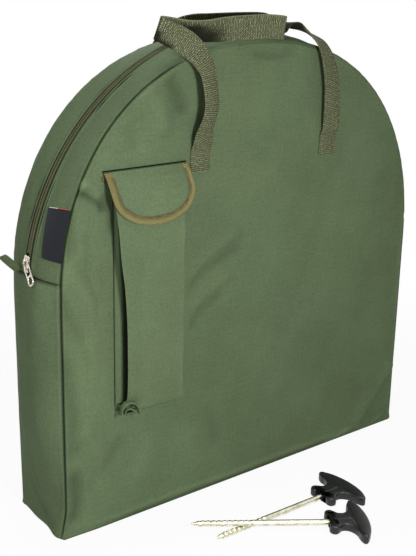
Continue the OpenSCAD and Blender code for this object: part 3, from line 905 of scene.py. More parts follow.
class Finish(Enum):
    """Every finish on the object."""

    CANVAS = Canvas()
    LINING = Canvas("canvas_lining", (0.100, 0.140, 0.070), 1.1, 0.08)
    WEBBING = Webbing()
    BINDING = Tape("binding", (0.246, 0.212, 0.084), 2.3, 0.35, 0.9, 0.5)
    ZIP_TAPE = Tape("zip_tape", (0.090, 0.097, 0.046), 2.2, 1.0, 0.7)
    ZIP_COIL = Tape("zip_teeth", (0.185, 0.185, 0.098), 0.8, 0.0, 0.3, 0.08)
    SEAM_TAPE = Tape("binding_dark", (0.090, 0.115, 0.055), 1.2, 0.2, 0.3)
    RIBBON = Tape("tab_ribbon", (0.100, 0.125, 0.058), 1.1, 0.1, 0.6)
    OLIVE_THREAD = Thread("olive_thread", (0.10, 0.14, 0.05))
    DARK_THREAD = Thread("dark_thread", (0.022, 0.030, 0.014))
    KHAKI_THREAD = Thread("khaki_thread", (0.130, 0.104, 0.042))
    RED_THREAD = Thread("red_thread", (0.60, 0.06, 0.03))
    WHITE_THREAD = Thread("white_thread", (0.62, 0.62, 0.60))
    NICKEL = Metal("nickel", (0.74, 0.71, 0.62), (0.58, 0.54, 0.44), 0.2)
    SPRING_STEEL = Metal("spring_steel", (0.42, 0.42, 0.42), (0.34, 0.33, 0.31), 0.32)
    ZINC = Metal("zinc", (0.86, 0.845, 0.70), (0.64, 0.60, 0.40), 0.27, (14, 1, 1), 0.35)
    GRIP = Moulded("grip_plastic", (0.012, 0.012, 0.013), 0.4)
    LABEL = Satin("label", (0.006, 0.008, 0.013))
    PILE = Satin("fastener_pile", (0.02, 0.021, 0.023), 0.6, 0.8)
    SLEEVE = Satin("sleeve", (0.022, 0.023, 0.026), 0.05, 0.45)
    NETTING = Satin("netting", (0.018, 0.019, 0.021), 0.4, 0.7)

    def material(self) -> bpy.types.Material:
        """Returns the finish's material, made once."""
        if self not in MADE:
            MADE[self] = self.value.make()
            MADE[self].name = f"{self.value.name}_finish"
        return MADE[self]


def dress(piece: Piece, finish: Finish) -> Piece:
    """Gives a piece its finish.

    Args:
        piece: The piece.
        finish: Its finish.

    Returns:
        The piece.
    """
    piece.data.materials.clear()
    piece.data.materials.append(finish.material())
    return piece


# ---------- repeats by geometry nodes ----------


def node_tree(name: str, finish: Finish, inputs: dict[str, str], kinds: dict[str, str],
              settings: dict[str, object], joins: Sequence[tuple[str, str]]) -> bpy.types.NodeTree:
    """Builds a geometry node tree that ends with real geometry in one finish.

    Args:
        name: Name of the tree.
        finish: Finish of the result.
        inputs: Socket type of each named input.
        kinds: Node type under each short name; "ins", "real", "paint" and "outs" are added.
        settings: Values by "node.socket" or "node.property".
        joins: Pairs of "node.socket", from an output to an input.

    Returns:
        The tree.
    """
    tree = bpy.data.node_groups.new(name, "GeometryNodeTree")
    for key, kind in inputs.items():
        tree.interface.new_socket(key, in_out="INPUT", socket_type="NodeSocket" + kind)
    tree.interface.new_socket("Geometry", in_out="OUTPUT", socket_type="NodeSocketGeometry")
    nodes = {key: tree.nodes.new("GeometryNode" + kind) for key, kind in kinds.items()}
    nodes["ins"], nodes["outs"] = tree.nodes.new("NodeGroupInput"), tree.nodes.new("NodeGroupOutput")
    nodes["real"] = tree.nodes.new("GeometryNodeRealizeInstances")
    nodes["paint"] = tree.nodes.new("GeometryNodeSetMaterial")
    for key, value in {**settings, "paint.Material": finish.material()}.items():
        node, part = key.split(".")
        if part in nodes[node].inputs:
            nodes[node].inputs[part].default_value = value
        else:
            setattr(nodes[node], part, value)
    ending = (("real.Geometry", "paint.Geometry"), ("paint.Geometry", "outs.Geometry"))
    for start, end in (*joins, *ending):
        (source, out), (target, into) = start.split("."), end.split(".")
        tree.links.new(nodes[source].outputs[out], nodes[target].inputs[into])
    return tree


@dataclass(frozen=True)
class Repeater:
    """Sets copies of a stamp at even steps along the runs of a guide."""

    name: str
    spacing: float
    finish: Finish

    def tree(self) -> bpy.types.NodeTree:
        """Builds and returns the node tree, with Spacing and Stamp as its named inputs."""
        return node_tree(
            self.name, self.finish, {"Guide": "Geometry", "Spacing": "Float", "Stamp": "Object"},
            {"curve": "MeshToCurve", "points": "CurveToPoints", "stamp": "ObjectInfo",
             "copies": "InstanceOnPoints"},
            {"points.mode": "LENGTH"},
            (("ins.Guide", "curve.Mesh"), ("curve.Curve", "points.Curve"), ("ins.Spacing", "points.Length"),
             ("ins.Stamp", "stamp.Object"), ("points.Points", "copies.Points"),
             ("points.Rotation", "copies.Rotation"), ("stamp.Geometry", "copies.Instance"),
             ("copies.Instances", "real.Geometry")))

    def along(self, runs: Sequence[Array], stamp: Piece, slot: str) -> Piece:
        """Makes the copies as one plain mesh.

        Args:
            runs: Guide runs in millimetres.
            stamp: Small mesh whose +Z is laid along the run; it is removed afterwards.
            slot: Not used.

        Returns:
            The new object.
        """
        points, edges = [], []
        for run in runs:
            first = len(points)
            points.extend((np.asarray(run, float) * MM).tolist())
            edges.extend((first + i, first + i + 1) for i in range(len(run) - 1))
        return grown(self.name, points, edges, self.tree(),
                     {"Spacing": self.spacing * MM, "Stamp": stamp}, self.finish)


def grown(name: str, points: list, edges: list, tree: bpy.types.NodeTree, inputs: dict,
          finish: Finish) -> Piece:
    """Runs a geometry node tree on a guide and keeps the result as a plain mesh.

    Args:
        name: Name of the piece.
        points: Points of the guide in metres.
        edges: Edges of the guide.
        tree: The node tree.
        inputs: Values of the tree's inputs by name.
        finish: Finish of the result.

    Returns:
        The new object.
    """
    mesh = bpy.data.meshes.new(name)
    mesh.from_pydata(points, edges, [])
    piece = linked(name, mesh)
    modifier = piece.modifiers.new("repeat", "NODES")
    modifier.node_group = tree
    for key, value in inputs.items():
        modifier[tree.interface.items_tree[key].identifier] = value
    bpy.context.view_layer.update()
    graph = bpy.context.evaluated_depsgraph_get()
    final = bpy.data.meshes.new_from_object(piece.evaluated_get(graph))
    piece.modifiers.clear()
    piece.data = final
    for value in inputs.values():
        if isinstance(value, Piece):
            bpy.data.objects.remove(value)
    if "cloth" not in final.uv_layers:
        final.uv_layers.new(name="cloth")
    final.shade_smooth()
    return dress(piece, finish)


def stitch_stamp(length: float, radius: float) -> Piece:
    """Makes one stitch: a short plump thread along Z.

    Args:
        length: Length of the stitch.
        radius: Radius of the thread.

    Returns:
        The stamp object.
    """
    z = np.array([-0.5, -0.3, 0.0, 0.3, 0.5])[:, None] * length
    r = np.array([0.45, 0.9, 1.0, 0.9, 0.45])[:, None] * radius
    a = round_about(6)
    parts = Parts()
    parts.tube(columns(np.cos(a) * r, np.sin(a) * r, z))
    return parts.make("stitch", 80.0)


# ---------- the bag's form ----------


@dataclass(frozen=True)
class BagForm:
    """The sewn shape that every cloth piece follows."""

    half_w: float = 300.0
    half_d: float = 56.5
    shoulder: float = 300.0
    rise: float = 302.0
    fullness: float = 2.27
    crown_r: float = 313.6
    corner_r: float = 4.0
    cross_seam: float = 6.766
    tape_edge: float = 13.2

    def radius(self, a: Array) -> Array:
        """Returns the seam's distance from the arch's centre at angles up from the left."""
        x = np.abs(np.cos(a)) / self.half_w
        z = np.abs(np.sin(a)) / self.rise
        return (x ** self.fullness + z ** self.fullness) ** (-1 / self.fullness)

    def arch(self, low: float, high: float, count: int) -> Array:
        """Returns stations [x, z, outward x, outward z, crown] between two angles in degrees."""
        a = np.radians(np.linspace(low, high, count))
        r = self.radius(a)
        return columns(-r * np.cos(a), self.shoulder + r * np.sin(a), -np.cos(a), np.sin(a),
                       self.crown_r - r)

    def side(self, count: int) -> Array:
        """Returns stations from the base corner up the left side to the shoulder."""
        z = np.linspace(self.corner_r, self.shoulder, count)
        crown = (self.crown_r - self.half_w) * (0.18 + 0.82 * ease((z - 14) / 130))
        return columns(-self.half_w, z, -1, 0, crown)

    def corner(self, count: int) -> Array:
        """Returns stations round the left base corner, from under the bag to its side."""
        a = np.radians(np.linspace(90, 0, count))
        r = self.corner_r
        crown = (self.crown_r - self.half_w) * 0.18 * np.cos(a)
        return columns(-self.half_w + r - r * np.cos(a), r - r * np.sin(a), -np.cos(a),
                       -np.sin(a), crown)

    def lower_left(self) -> Array:
        """Returns stations of the left side gusset, from the base to the cross seam."""
        return np.concatenate([self.corner(7)[:-1], self.side(46)[:-1],
                               self.arch(0, self.cross_seam, 7)])

    def rim(self) -> Array:
        """Returns the panel's outline as [x, z], from the base's left end round the arch."""
        left = np.concatenate([self.corner(7)[:-1], self.side(84)[:-1]])[:, :2]
        end = self.half_w - self.corner_r
        base = columns(np.linspace(end, -end, 150), 0)[1:-1]
        return np.concatenate([left, self.arch(0, 180, 220)[:, :2], left[::-1] * [-1, 1], base])

    def crown_share(self, y: Array) -> Array:
        """Returns the share of the crown that is reached at a distance from the middle."""
        reach = np.minimum(1, (self.half_d - np.abs(y)) / (self.half_d - self.tape_edge))
        return np.sin(np.radians(90 * np.maximum(reach, 0)))

    def gusset(self, stations: Array, y: Array, lift: Array | float = 0.0) -> Array:
        """Returns a grid on the gusset.

        Args:
            stations: Stations along the seam.
            y: Distances from the bag's middle plane.
            lift: Extra height outwards, as a number or a grid.

        Returns:
            Points by station and distance.
        """
        out = stations[:, 4:5] * self.crown_share(y)[None] + lift
        return columns(stations[:, 0:1] + stations[:, 2:3] * out, y,
                       stations[:, 1:2] + stations[:, 3:4] * out)

    def spot(self, station: Array, y: float, lift: float) -> Array:
        """Returns one point on the gusset."""
        return self.gusset(station[None], np.array([y]), np.array([[lift]]))[0, 0]


FORM = BagForm()


@dataclass(frozen=True)
class Fold:
    """A crease in the cloth: a ridge or valley along a line, with a drop on its right side and painted
    highlight or shade along it.
    """

    line: tuple[tuple[float, float], ...]
    height: float
    width: float
    pale: float = 0.0
    drop: float = 0.0
    drop_width: float = 14.0

    def relief(self, x: Array, z: Array) -> tuple[Array, Array]:
        """Returns the height and the painted highlight or shade that the fold adds at points of the panel."""
        dist, signed, share = polyline_reach(x, z, self.line)
        ends = ease(share * 5) * ease((1 - share) * 5)
        if self.drop:
            ends = ease(share * 12 + 0.3) * ease((1 - share) * 12 + 0.3)
        ridge = hump(dist, self.width)
        fall = ease(signed / 4) * hump(signed, self.drop_width) * (signed > 0)
        return ends * (self.height * ridge - self.drop * fall), ends * self.pale * ridge


@dataclass
class Shell:
    """The canvas shell: panels, gussets and base, with their sewn edges and creases."""

    form: BagForm = FORM
    cloth: float = 1.3
    fold_gain: float = 1.35
    fold_shading_gain: float = 1.3
    # left, right, bottom and top of what is sewn on: the handles' legs, then the pocket
    sewn: tuple[tuple[float, ...], ...] = (
        (-117, -79, 440, 484), (104, 142, 440, 484), (-246, -116, 148, 474))
    # front panel creases; a positive pale paints a highlight along a ridge, a negative one paints shade in a
    # valley
    folds: tuple[Fold, ...] = (
        Fold(((-284, 456), (-266, 450), (-251, 444), (-240, 434)), 2.8, 5.5, 0.4),
        Fold(((-284, 447), (-262, 438), (-246, 425), (-240, 408)), -3.2, 5.5, -0.4),
        Fold(((-250, 452), (-240, 436), (-231, 414), (-229, 380)), -2.6, 6.0, -0.33),
        Fold(((-290, 430), (-282, 400), (-280, 360)), -3.0, 9.0, -0.18),
        Fold(((-297, 362), (-276, 333), (-254, 303), (-231, 276)), 3.4, 12.0, 0.23),
        Fold(((-298, 334), (-284, 292), (-262, 250), (-250, 205)), -2.6, 10.0, -0.19),
        Fold(((-258, 400), (-252, 350), (-240, 312)), -2.4, 12.0, -0.14),
        Fold(((-262, 268), (-250, 232), (-245, 185)), 2.8, 11.0, 0.2),
        Fold(((-297, 262), (-286, 207), (-281, 150), (-284, 92)), -3.2, 13.0, -0.23),
        Fold(((-284, 152), (-256, 122), (-242, 80), (-250, 40)), 2.6, 13.0, 0.19),
        Fold(((-205, 128), (-232, 91), (-264, 46)), -2.6, 13.0, -0.19),
        Fold(((-286, 100), (-283, 50), (-288, 10)), -2.8, 12.0, -0.3),
        Fold(((-160, 120), (-176, 80), (-196, 40)), 2.0, 16.0, 0.11),
        Fold(((-112, 101), (-103, 69), (-88, 31)), 1.8, 13.0, 0.13),
        Fold(((-82, 134), (-63, 92), (-57, 52)), -2.0, 13.0, -0.14),
        Fold(((-296, 9), (-200, 10.5), (-20, 10), (120, 10), (230, 12)), 0.9, 3.4, 0.36),
        Fold(((-298, 3.5), (-200, 4), (-20, 4), (120, 4), (250, 4)), -0.4, 2.6, -0.4),
        Fold(((-118, 300), (-100, 325), (-86, 335), (-53, 352), (-20, 366)), 3.2, 8.5, 0.19),
        Fold(((-116, 288), (-92, 310), (-50, 330), (-10, 342)), -2.6, 8.0, -0.19),
        Fold(((-112, 262), (-90, 282), (-68, 294), (-35, 308)), 2.4, 8.5, 0.17),
        Fold(((-114, 236), (-88, 262), (-48, 282)), -2.0, 9.0, -0.17),
        Fold(((-119, 515), (-128, 542), (-146, 570)), -3.8, 15.0, -0.28),
        Fold(((-148, 492), (-162, 536), (-190, 562)), 3.0, 13.0, 0.17),
        Fold(((-200, 520), (-190, 492), (-196, 470)), -1.6, 9.0),
        Fold(((-20, 587), (30, 584), (72, 589)), -2.4, 5.5, -0.16),
        Fold(((299, 96), (281, 80), (261, 56), (240, 33), (219, 9)), 2.8, 3.4, 0.7, -3.4, 16.0),
        Fold(((282, 15), (268, 9), (253, 4)), 1.8, 2.4, 0.5),
        Fold(((150, 2), (190, 8), (214, 12.5)), 1.8, 3.0, 0.45),
        Fold(((20, 150), (110, 190), (220, 200)), 2.2, 36.0),
        Fold(((-90, 90), (10, 70), (100, 110)), -1.8, 34.0),
        Fold(((-80, 190), (-20, 150), (60, 140)), -1.4, 30.0),
    )
    # folds of the left side gusset, whose lines are y and z
    slack: tuple[Fold, ...] = (
        Fold(((33, 62), (-4, 20), (-42, 6)), -1.8, 7.0),
        Fold(((6, 130), (-12, 40), (-30, 20)), 1.6, 9.0),
        Fold(((30, 300), (38, 180), (30, 70)), -1.4, 10.0),
        Fold(((-18, 320), (-6, 210), (-16, 110)), 1.3, 12.0),
    )
    # distances from the middle plane at which a zip gusset bends under beside the tape
    bends: tuple[float, ...] = (5.5, 6.3, 7.1, 8.0)
    middle: tuple[float, float] = (0.0, 270.0)
    seam_tape_in: float = 7.4
    leaf_gap: tuple[float, float] = (334.0, 342.0)

    def relief(self, x: Array, z: Array, rim: Array, rear: bool = False) -> tuple[Array, Array]:
        """Works out how far the cloth stands off the flat panel.

        Args:
            x: Places along the width.
            z: Heights.
            rim: Distances from the sewn edge.
            rear: Whether it is the rear panel, which has only soft waves.

        Returns:
            Heights outwards and painted shading.
        """
        soft = waves(x, z, 150, 3) * 0.9 + waves(x, z, 62, 8) * 0.32 + waves(x, z, 26, 5) * 0.08
        # painted highlight on the cloth rolled beside the seam and painted shade in the seam, weaker at the
        # base and over the top
        wear = 0.3 * hump(rim - 4.9, 1.6) - 1.0 * hump(rim, 2.8)
        over_top = ease((x + 165) / 50) * ease((z - 490) / 60)
        wear = wear * (0.35 + 0.65 * ease((z - 4) / 10)) * (1 - 0.95 * over_top)
        if rear:
            soft = soft * 1.6 + waves(x, z, 210, 12) * 0.9
        # the folds add painted highlight on ridges and painted shade in valleys
        for fold in () if rear else self.folds:
            height, pale = fold.relief(x, z)
            soft = soft + self.fold_gain * height
            wear = wear + self.fold_shading_gain * pale
        soft = soft + 0.8 * hump(z - 7, 5) * ease((60 - z) / 60)
        held = np.ones_like(soft)
        for left, right, bottom, top in self.sewn[:2] if rear else self.sewn:
            gap = np.maximum(np.maximum(left - x, x - right), np.maximum(bottom - z, z - top))
            held = held * (0.06 + 0.94 * ease(gap / 16))
        rolled = -2.6 * hump(rim, 1.6) * ease((z - 2) / 12) + 0.5 * hump(rim - 4.5, 2.4)
        return soft * held * ease(rim / 9) + rolled, np.clip(wear, -1, 1)

    def panel(self, name: str, side: float) -> Piece:
        """Makes the front (-1) or rear (1) panel.

        Args:
            name: Name of the piece.
            side: Sign of y on its outer side.

        Returns:
            The panel.
        """
        inner = np.linspace(0, 0.93, 66 if side < 0 else 40)
        inner = 0.034 + 0.95 * (0.45 * inner + 0.55 * inner ** 1.7)
        rings = np.concatenate([[0, 0.0015, 0.003, 0.0045, 0.006, 0.008, 0.0105, 0.014, 0.0185,
                                 0.0255], inner])

        def face(x: Array, z: Array, rim: Array) -> tuple[Array, Array]:
            """Returns y and painted shading of the outer face."""
            height, wear = self.relief(x, z, rim, side > 0)
            return side * (self.form.half_d + height), wear

        return disc_sheet(name, self.form.rim(), self.middle, rings, face, self.cloth, side)

    def gusset_cloth(self, name: str, stations: Array, low: float, high: float, count: int,
                     tape_side: float = 0.0) -> Piece:
        """Makes a gusset between two distances from the middle plane.

        Args:
            name: Name of the piece.
            stations: Stations along the seam.
            low: First distance.
            high: Last distance.
            count: Columns of the grid.
            tape_side: Sign of y of a zip gusset, whose edge is folded under beside the
                tape, or 0 for a side gusset.

        Returns:
            The gusset.
        """
        side = tape_side == 0
        t = np.linspace(0, 1, count)
        y = low + (high - low) * (t - np.sin(2 * math.pi * t) / (2 * math.pi) * 0.72)
        along = travelled(stations[:, :2])[:, None]
        edge = self.form.half_d - np.abs(y)[None]
        for place in () if side else self.bends:
            y[np.argmin(np.abs(np.abs(y) - place))] = math.copysign(place, tape_side)
        away = np.abs(y)[None]
        lift = waves(along, y[None] * 2.2, 120, 21) * 0.9 + waves(along, y[None] * 1.4, 46, 22) * 0.3
        lift = lift * ease(edge / 12) * ease((away - 4) / 16 + side)
        groove = 1 - 0.75 * ease((14 - stations[:, 1:2]) / 12)
        lift = lift - 2.6 * groove * hump(edge, 1.5) + (0.3 if side else 0.35) * hump(edge - 4.6, 2.8)
        ends = np.minimum(along, along[-1] - along)
        lift = lift - (2.0 if side else 1.2) * hump(ends, 1.6)
        # painted highlight where the cloth rolls beside the seam, painted shade in the seam
        wear = (0.55 if side else 0.3) * hump(edge - 4.2, 1.8) - hump(edge - 0.3, 2.5) + 0 * along
        if side:
            seam = along[-1] - along if stations[0, 0] < 0 else along
            # painted shade along the cross seam
            wear = wear - 0.8 * hump(seam, 1.3)
            lift = self.creased(stations, y, np.maximum(lift, -3.3))
        else:
            pucker = 0.5 + 0.5 * waves(along, 0 * y[None], 17, 27)
            lift = lift + 0.5 * pucker * hump(edge - 5, 4)
            lift = lift + ease((14.5 - away) / 4) - 0.9 * hump(away - 6.5, 0.8)
            # painted shade at the zip ends and under the fold beside the tape, with less painted shading
            # towards the right
            wear = wear * (1 - 0.85 * ease((stations[:, 0:1] + 150) / 60)) - 0.3 * hump(ends, 1.3)
            wear = wear - ease((7.6 - away) / 1.1)
        grid = self.form.gusset(stations, y, lift)
        grid[..., 2] = np.maximum(grid[..., 2], 0.25)
        return skin(name, grid, self.cloth, np.clip(wear, -1, 1), inward=-1.0)

    def settle(self, piece: Piece) -> Piece:
        """Spreads the lower left front corner a little to the side, as the bag rests on it.

        Args:
            piece: A finished cloth piece.

        Returns:
            The same piece.
        """
        place = points_of(piece)
        x, y, z = place.T
        share = ease((-250 - x) / 48) * ease((46 - z) / 44) * ease((-y - 4) / 46)
        place = place + columns(-5.0 * share, 2.0 * share, 0)
        piece.data.vertices.foreach_set("co", (place * MM).astype(np.float32).ravel())
        return piece

    def creased(self, stations: Array, y: Array, lift: Array) -> Array:
        """Adds the side gusset's slack folds and the bulge of its lower front corner.

        Args:
            stations: Stations along the seam.
            y: Distances from the middle plane.
            lift: Heights so far.

        Returns:
            The new heights.
        """
        z = stations[:, 1:2] + 0 * y[None]
        gy = y[None] + 0 * z
        left = stations[0, 0] < 0
        for fold in self.slack:
            if not left:
                fold = replace(fold, line=tuple((-a, b) for a, b in fold.line))
            lift = lift + fold.relief(gy, z)[0]
        low = ease((40 - z) / 40) * (stations[:, 4:5] > 0)
        bulge = 2.0 * hump(gy + 38, 24) - 1.0 * hump(gy - 40, 26)
        return lift + low * bulge * (1.0 if left else 0.35) * ease((56 - np.abs(gy)) / 10)

    def build(self) -> None:
        """Makes and places every shell piece."""
        front = dress(self.settle(self.panel("front_panel_cloth", -1)), Finish.CANVAS)
        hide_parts("front_panel")
        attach(front, "bag")
        rear = dress(self.panel("rear_panel_cloth", 1), Finish.CANVAS)
        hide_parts("rear_panel_lower", "rear_panel_upper")
        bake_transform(rear)
        left = self.form.lower_left()
        right = left[::-1] * [-1, 1, -1, 1, 1]
        edge = self.form.half_d - 0.9
        for name, stations in (("side_gusset_left", left), ("side_gusset_right", right)):
            piece = self.settle(self.gusset_cloth(name + "_cloth", stations, -edge, edge, 47))
            dress(piece, Finish.CANVAS)
            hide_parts(name)
            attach(piece, "bag")
        arch = self.form.arch(self.form.cross_seam + 0.12, 179.88 - self.form.cross_seam, 190)
        for name, body, low, high in (("zip_gusset_front", "bag", -edge, -6.5),
                                      ("zip_gusset_rear", "rear_leaf", 6.5, edge)):
            piece = self.gusset_cloth(name + "_cloth", arch, low, high, 27, math.copysign(1, low))
            dress(piece, Finish.CANVAS)
            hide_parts(name)
            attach(piece, body)
        self.build_base()
        self.build_seam_tapes()

    def build_base(self) -> None:
        """Makes the base cloth between the side gussets."""
        gx, gy = lattice((-290.5, 290.5, 120), (-55.2, 55.2, 24))
        z = 0.3 + 0.9 * hump(55.2 - np.abs(gy), 2.0) + 0.15 * waves(gx, gy, 60, 31)
        base = self.settle(skin("base_cloth", columns(gx, gy, z), 1.2, inward=-1.0))
        dress(base, Finish.CANVAS)
        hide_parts("base_panel")
        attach(base, "bag")

    def build_seam_tapes(self) -> None:
        """Makes the bound raw seams inside the bag."""
        rim = self.form.rim()
        inner = rim + unit(self.middle - rim) * self.seam_tape_in
        low, high = inner[:, 1] < self.leaf_gap[0], inner[:, 1] > self.leaf_gap[1]
        first = int(np.argmax(high))
        last = len(high) - int(np.argmax(high[::-1]))
        index = np.arange(len(inner))
        order = np.roll(index, -int(np.argmax(~low & (index > 10))))
        for name, path, side, body in (("front_seam_tape", inner, -1, "bag"),
                                       ("rear_seam_tape_upper", inner[first:last], 1, "rear_leaf"),
                                       ("rear_seam_tape_lower", inner[order][low[order]], 1, "bag")):
            height, _ = self.relief(*path.T, np.array(self.seam_tape_in), side > 0)
            inside = self.form.half_d - 3.6 + np.minimum(height, 0.4)
            run = columns(path[:, 0], side * inside, path[:, 1])
            across = columns(self.middle[0] - run[:, 0], 0, self.middle[1] - run[:, 2])
            piece = sweep(name + "_bound", run, across, flat_profile(9, 2.6), side < 0)
            dress(piece, Finish.SEAM_TAPE)
            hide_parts(name)
            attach(piece, body)


# ---------- zip ----------


@dataclass
class Zip:
    """Coil zip over the arch, with its slider, pull, stops, tab and side label."""

    form: BagForm = FORM
    radius: float = 314.0
    closed_angle: float = 9.5324
    teeth_from: float = 11.39
    tape_from: float = 7.2
    coil_pitch: float = 1.9
    pull_lean: float = 44.0
    pull_out: float = 4.2
    patch_from: float = 6.87
    upper_plate: tuple[float, float] = (1.7, 2.8)
    lower_plate: tuple[float, float] = (-2.6, -1.5)
    # angles at which the label starts and ends, at the front seam and beside the zip
    label_seam: tuple[float, float] = (11.6, 23.35)
    label_zip: tuple[float, float] = (11.7, 22.35)
    label_top: tuple[float, float] = (22.42, 23.42)

    def arc(self, radius: float, y: float, low: float, high: float, count: int) -> Array:
        """Returns points on an arc round the arch's centre between two angles in degrees."""
        a = np.radians(np.linspace(low, high, count))
        return columns(-radius * np.cos(a), y, self.form.shoulder + radius * np.sin(a))

    def tape(self, name: str, side: float, low: float) -> Piece:
        """Makes one side of the tape, with the ridge over its sewn coil.

        Args:
            name: Name of the piece.
            side: Sign of y.
            low: Angle at which it starts.

        Returns:
            The tape.
        """
        y = np.array([0.65, 0.9, 1.5, 2.2, 3.0, 3.6, 4.4, 5.4, 6.6, 8.4, 10.4, 12.0])
        rise = np.array([-0.2, 0.2, 0.32, 0.35, 0.28, 0.05, 0, 0, 0, 0, 0, 0])
        grid = np.stack([self.arc(self.radius + 0.2 + r, side * yy, low, 180 - low, 240)
                         for yy, r in zip(y, rise)], axis=1)
        # painted shade on the tape's outer part beside the folded cloth and along its middle
        wear = -0.95 * ease((y - 4.3) / 0.9)[None] - 0.9 * ease((1.6 - y) / 0.6)[None] + 0 * grid[..., 0]
        piece = skin(name, grid, 0.7, wear, inward=-side)
        return dress(piece, Finish.ZIP_TAPE)

    def coil(self, name: str, side: float) -> Piece:
        """Makes one row of coil loops by geometry nodes, and returns it."""
        a = round_about(9)
        ring = columns(np.cos(a) * 1.05, np.sin(a) * 1.05, 0)
        stamp = sweep("coil_turn", ring, np.array([0, 0, 1.0]), round_profile(0.42, 4), True, 80)
        low = self.teeth_from + 0.3
        run = self.arc(self.radius + 0.25, side * 2.0, low, 180 - low, 400)
        return Repeater(name, self.coil_pitch, Finish.ZIP_COIL).along([run], stamp, "zip_teeth")

    def local(self) -> Matrix:
        """Returns the matrix from the slider's own axes, x outwards and z up, to the row."""
        turn = Matrix.Rotation(math.radians(self.closed_angle), 4, "Y")
        return Matrix.Translation((0, 0, self.form.shoulder * MM)) @ turn @ Matrix.Diagonal((-1, 1, 1, 1))

    def slider(self) -> Piece:
        """Makes the slider: two domed plates, turned-in lips, a post and a bridge."""
        r = self.radius
        work = bmesh.new()

        def loft(rings: Sequence[Array]) -> None:
            """Adds a closed body through rings of points in millimetres."""
            loops = [[work.verts.new(p * MM) for p in ring] for ring in rings]
            for a, b in zip(loops, loops[1:]):
                for i in range(len(a)):
                    k = (i + 1) % len(a)
                    work.faces.new((a[i], a[k], b[k], b[i]))
            work.faces.new(loops[0][::-1])
            work.faces.new(loops[-1])

        def block(low: float, high: float, outline: Sequence[Sequence[float]], dome: float = 0.0) -> None:
            """Adds a plate between two distances from the arch's radius, with an outline [y, z]."""
            levels = [(low, 0.35), (low + 0.25, 0), (high - 0.3, 0), (high, 0.4)]
            rings = []
            middle = np.mean(outline, axis=0)
            out = np.array(outline) - middle
            for depth, shrink in levels + [(high + dome, 2.2)] * (dome > 0):
                y, z = (middle + out * (1 - shrink / np.abs(out).max())).T
                rings.append(columns(r + depth, y, z))
            loft(rings)

        half = [(1, 7.2), (2, 8), (4.2, 7.8), (5.7, 6.6), (6.2, 4.6), (6.1, 0), (5.6, -5), (5.0, -7.4),
                (3.8, -8)]
        shield = [(-y, z) for y, z in half[4::-1]] + half + [(-y, z) for y, z in half[:4:-1]]
        block(*self.upper_plate, shield, 0.25)
        block(*self.lower_plate, shield)
        for inner, outer in ((-6.2, -5.15), (5.15, 6.2)):
            lip = [(inner, -3.8), (outer, -3.8), (outer, 3.2), (inner, 3.2)]
            block(0.85, 2.2, lip)
            block(-2.0, -0.85, lip)
        block(-2.0, 2.2, [(-0.45, 3), (0.45, 3), (0.45, 7.4), (-0.45, 7.4)])
        bridge = spline([(r + 2.5, -3.3), (r + 4.2, -3.2), (r + 6.1, -2.4), (r + 6.7, 0), (r + 6.1, 2.3),
                         (r + 4.2, 3.2), (r + 2.5, 3.3)], 4)
        last = len(bridge) - 1
        rings = []
        for i, (x, z) in enumerate(bridge):
            along = unit(bridge[min(i + 1, last)] - bridge[max(i - 1, 0)]) * 0.42
            rings.append(np.array([(x + s * along[1], y, z - s * along[0])
                                   for s, y in ((-1, -0.9), (1, -0.75), (1, 0.75), (-1, 0.9))]))
        loft(rings)
        mesh = bpy.data.meshes.new("slider_plated")
        work.to_mesh(mesh)
        work.free()
        mesh.uv_layers.new(name="cloth")
        piece = placed(linked("slider_plated", mesh), self.local())
        mend(mesh, 38)
        return dress(piece, Finish.NICKEL)

    def pull(self) -> Piece:
        """Makes the stamped pull: an eye, a waisted tab with raised edges and a slotted end."""
        length, end_r = 32.0, 4.6
        outer = spline([(1.0, 4.2), (0.9, 0), (1.0, -4.2), (-1.5, -4.8), (-8, -4.7), (-16, -4.2),
                        (-22, -4.4), (-length + end_r, -end_r), (-length + 1.3, -3.2), (-length, 0),
                        (-length + 1.3, 3.2), (-length + end_r, end_r), (-22, 4.4), (-16, 4.2),
                        (-8, 4.7), (-1.5, 4.8)], 4, closed=True)
        eye = spline([(-0.9, 3.2), (-0.9, -3.2), (-2, -3.5), (-9, -3.6), (-17, -3.1), (-18.6, -2.2),
                      (-18.6, 2.2), (-17, 3.1), (-9, 3.6), (-2, 3.5)], 3, closed=True)
        slot = spline([(-20.8, 1.6), (-20.8, -1.6), (-23, -2.7), (-length + end_r, -end_r + 1.4),
                       (-length + 2.4, -1.9), (-length + 1.4, 0), (-length + 2.4, 1.9),
                       (-length + end_r, end_r - 1.4), (-23, 2.7)], 3, closed=True)
        curve = bpy.data.curves.new("pull_outline", "CURVE")
        curve.dimensions = "2D"
        curve.fill_mode = "BOTH"
        curve.extrude = curve.bevel_depth = 0.3 * MM
        curve.bevel_resolution = 2
        for loop in (outer, eye, slot):
            line = curve.splines.new("POLY")
            line.points.add(len(loop) - 1)
            for point, (x, y) in zip(line.points, loop):
                point.co = (x * MM, y * (1 + 0.3 * float(ease((-1 - x) / 9))) * MM, 0, 1)
            line.use_cyclic_u = True
        holder = linked("pull_outline", curve)
        bpy.context.view_layer.update()
        graph = bpy.context.evaluated_depsgraph_get()
        mesh = bpy.data.meshes.new_from_object(holder.evaluated_get(graph))
        bpy.data.objects.remove(holder)
        mesh.name = "pull_plated"
        mesh.uv_layers.new(name="cloth")
        # the outline's x becomes up, its y stays, its z points inwards
        stand = Matrix(((0, 0, -1, 0), (0, 1, 0, 0), (1, 0, 0, 0), (0, 0, 0, 1)))
        reach = (self.radius + self.pull_out) * MM
        angle = math.radians(self.closed_angle)
        at = Matrix.Translation((-reach * math.cos(angle), 0,
                                 self.form.shoulder * MM + reach * math.sin(angle)))
        turn = Matrix.Rotation(angle, 4, "Y") @ Matrix.Rotation(math.radians(-self.pull_lean), 4, "X")
        piece = placed(linked("pull_plated", mesh), at @ turn @ stand)
        mend(mesh, 40, WELD)
        return dress(piece, Finish.NICKEL)

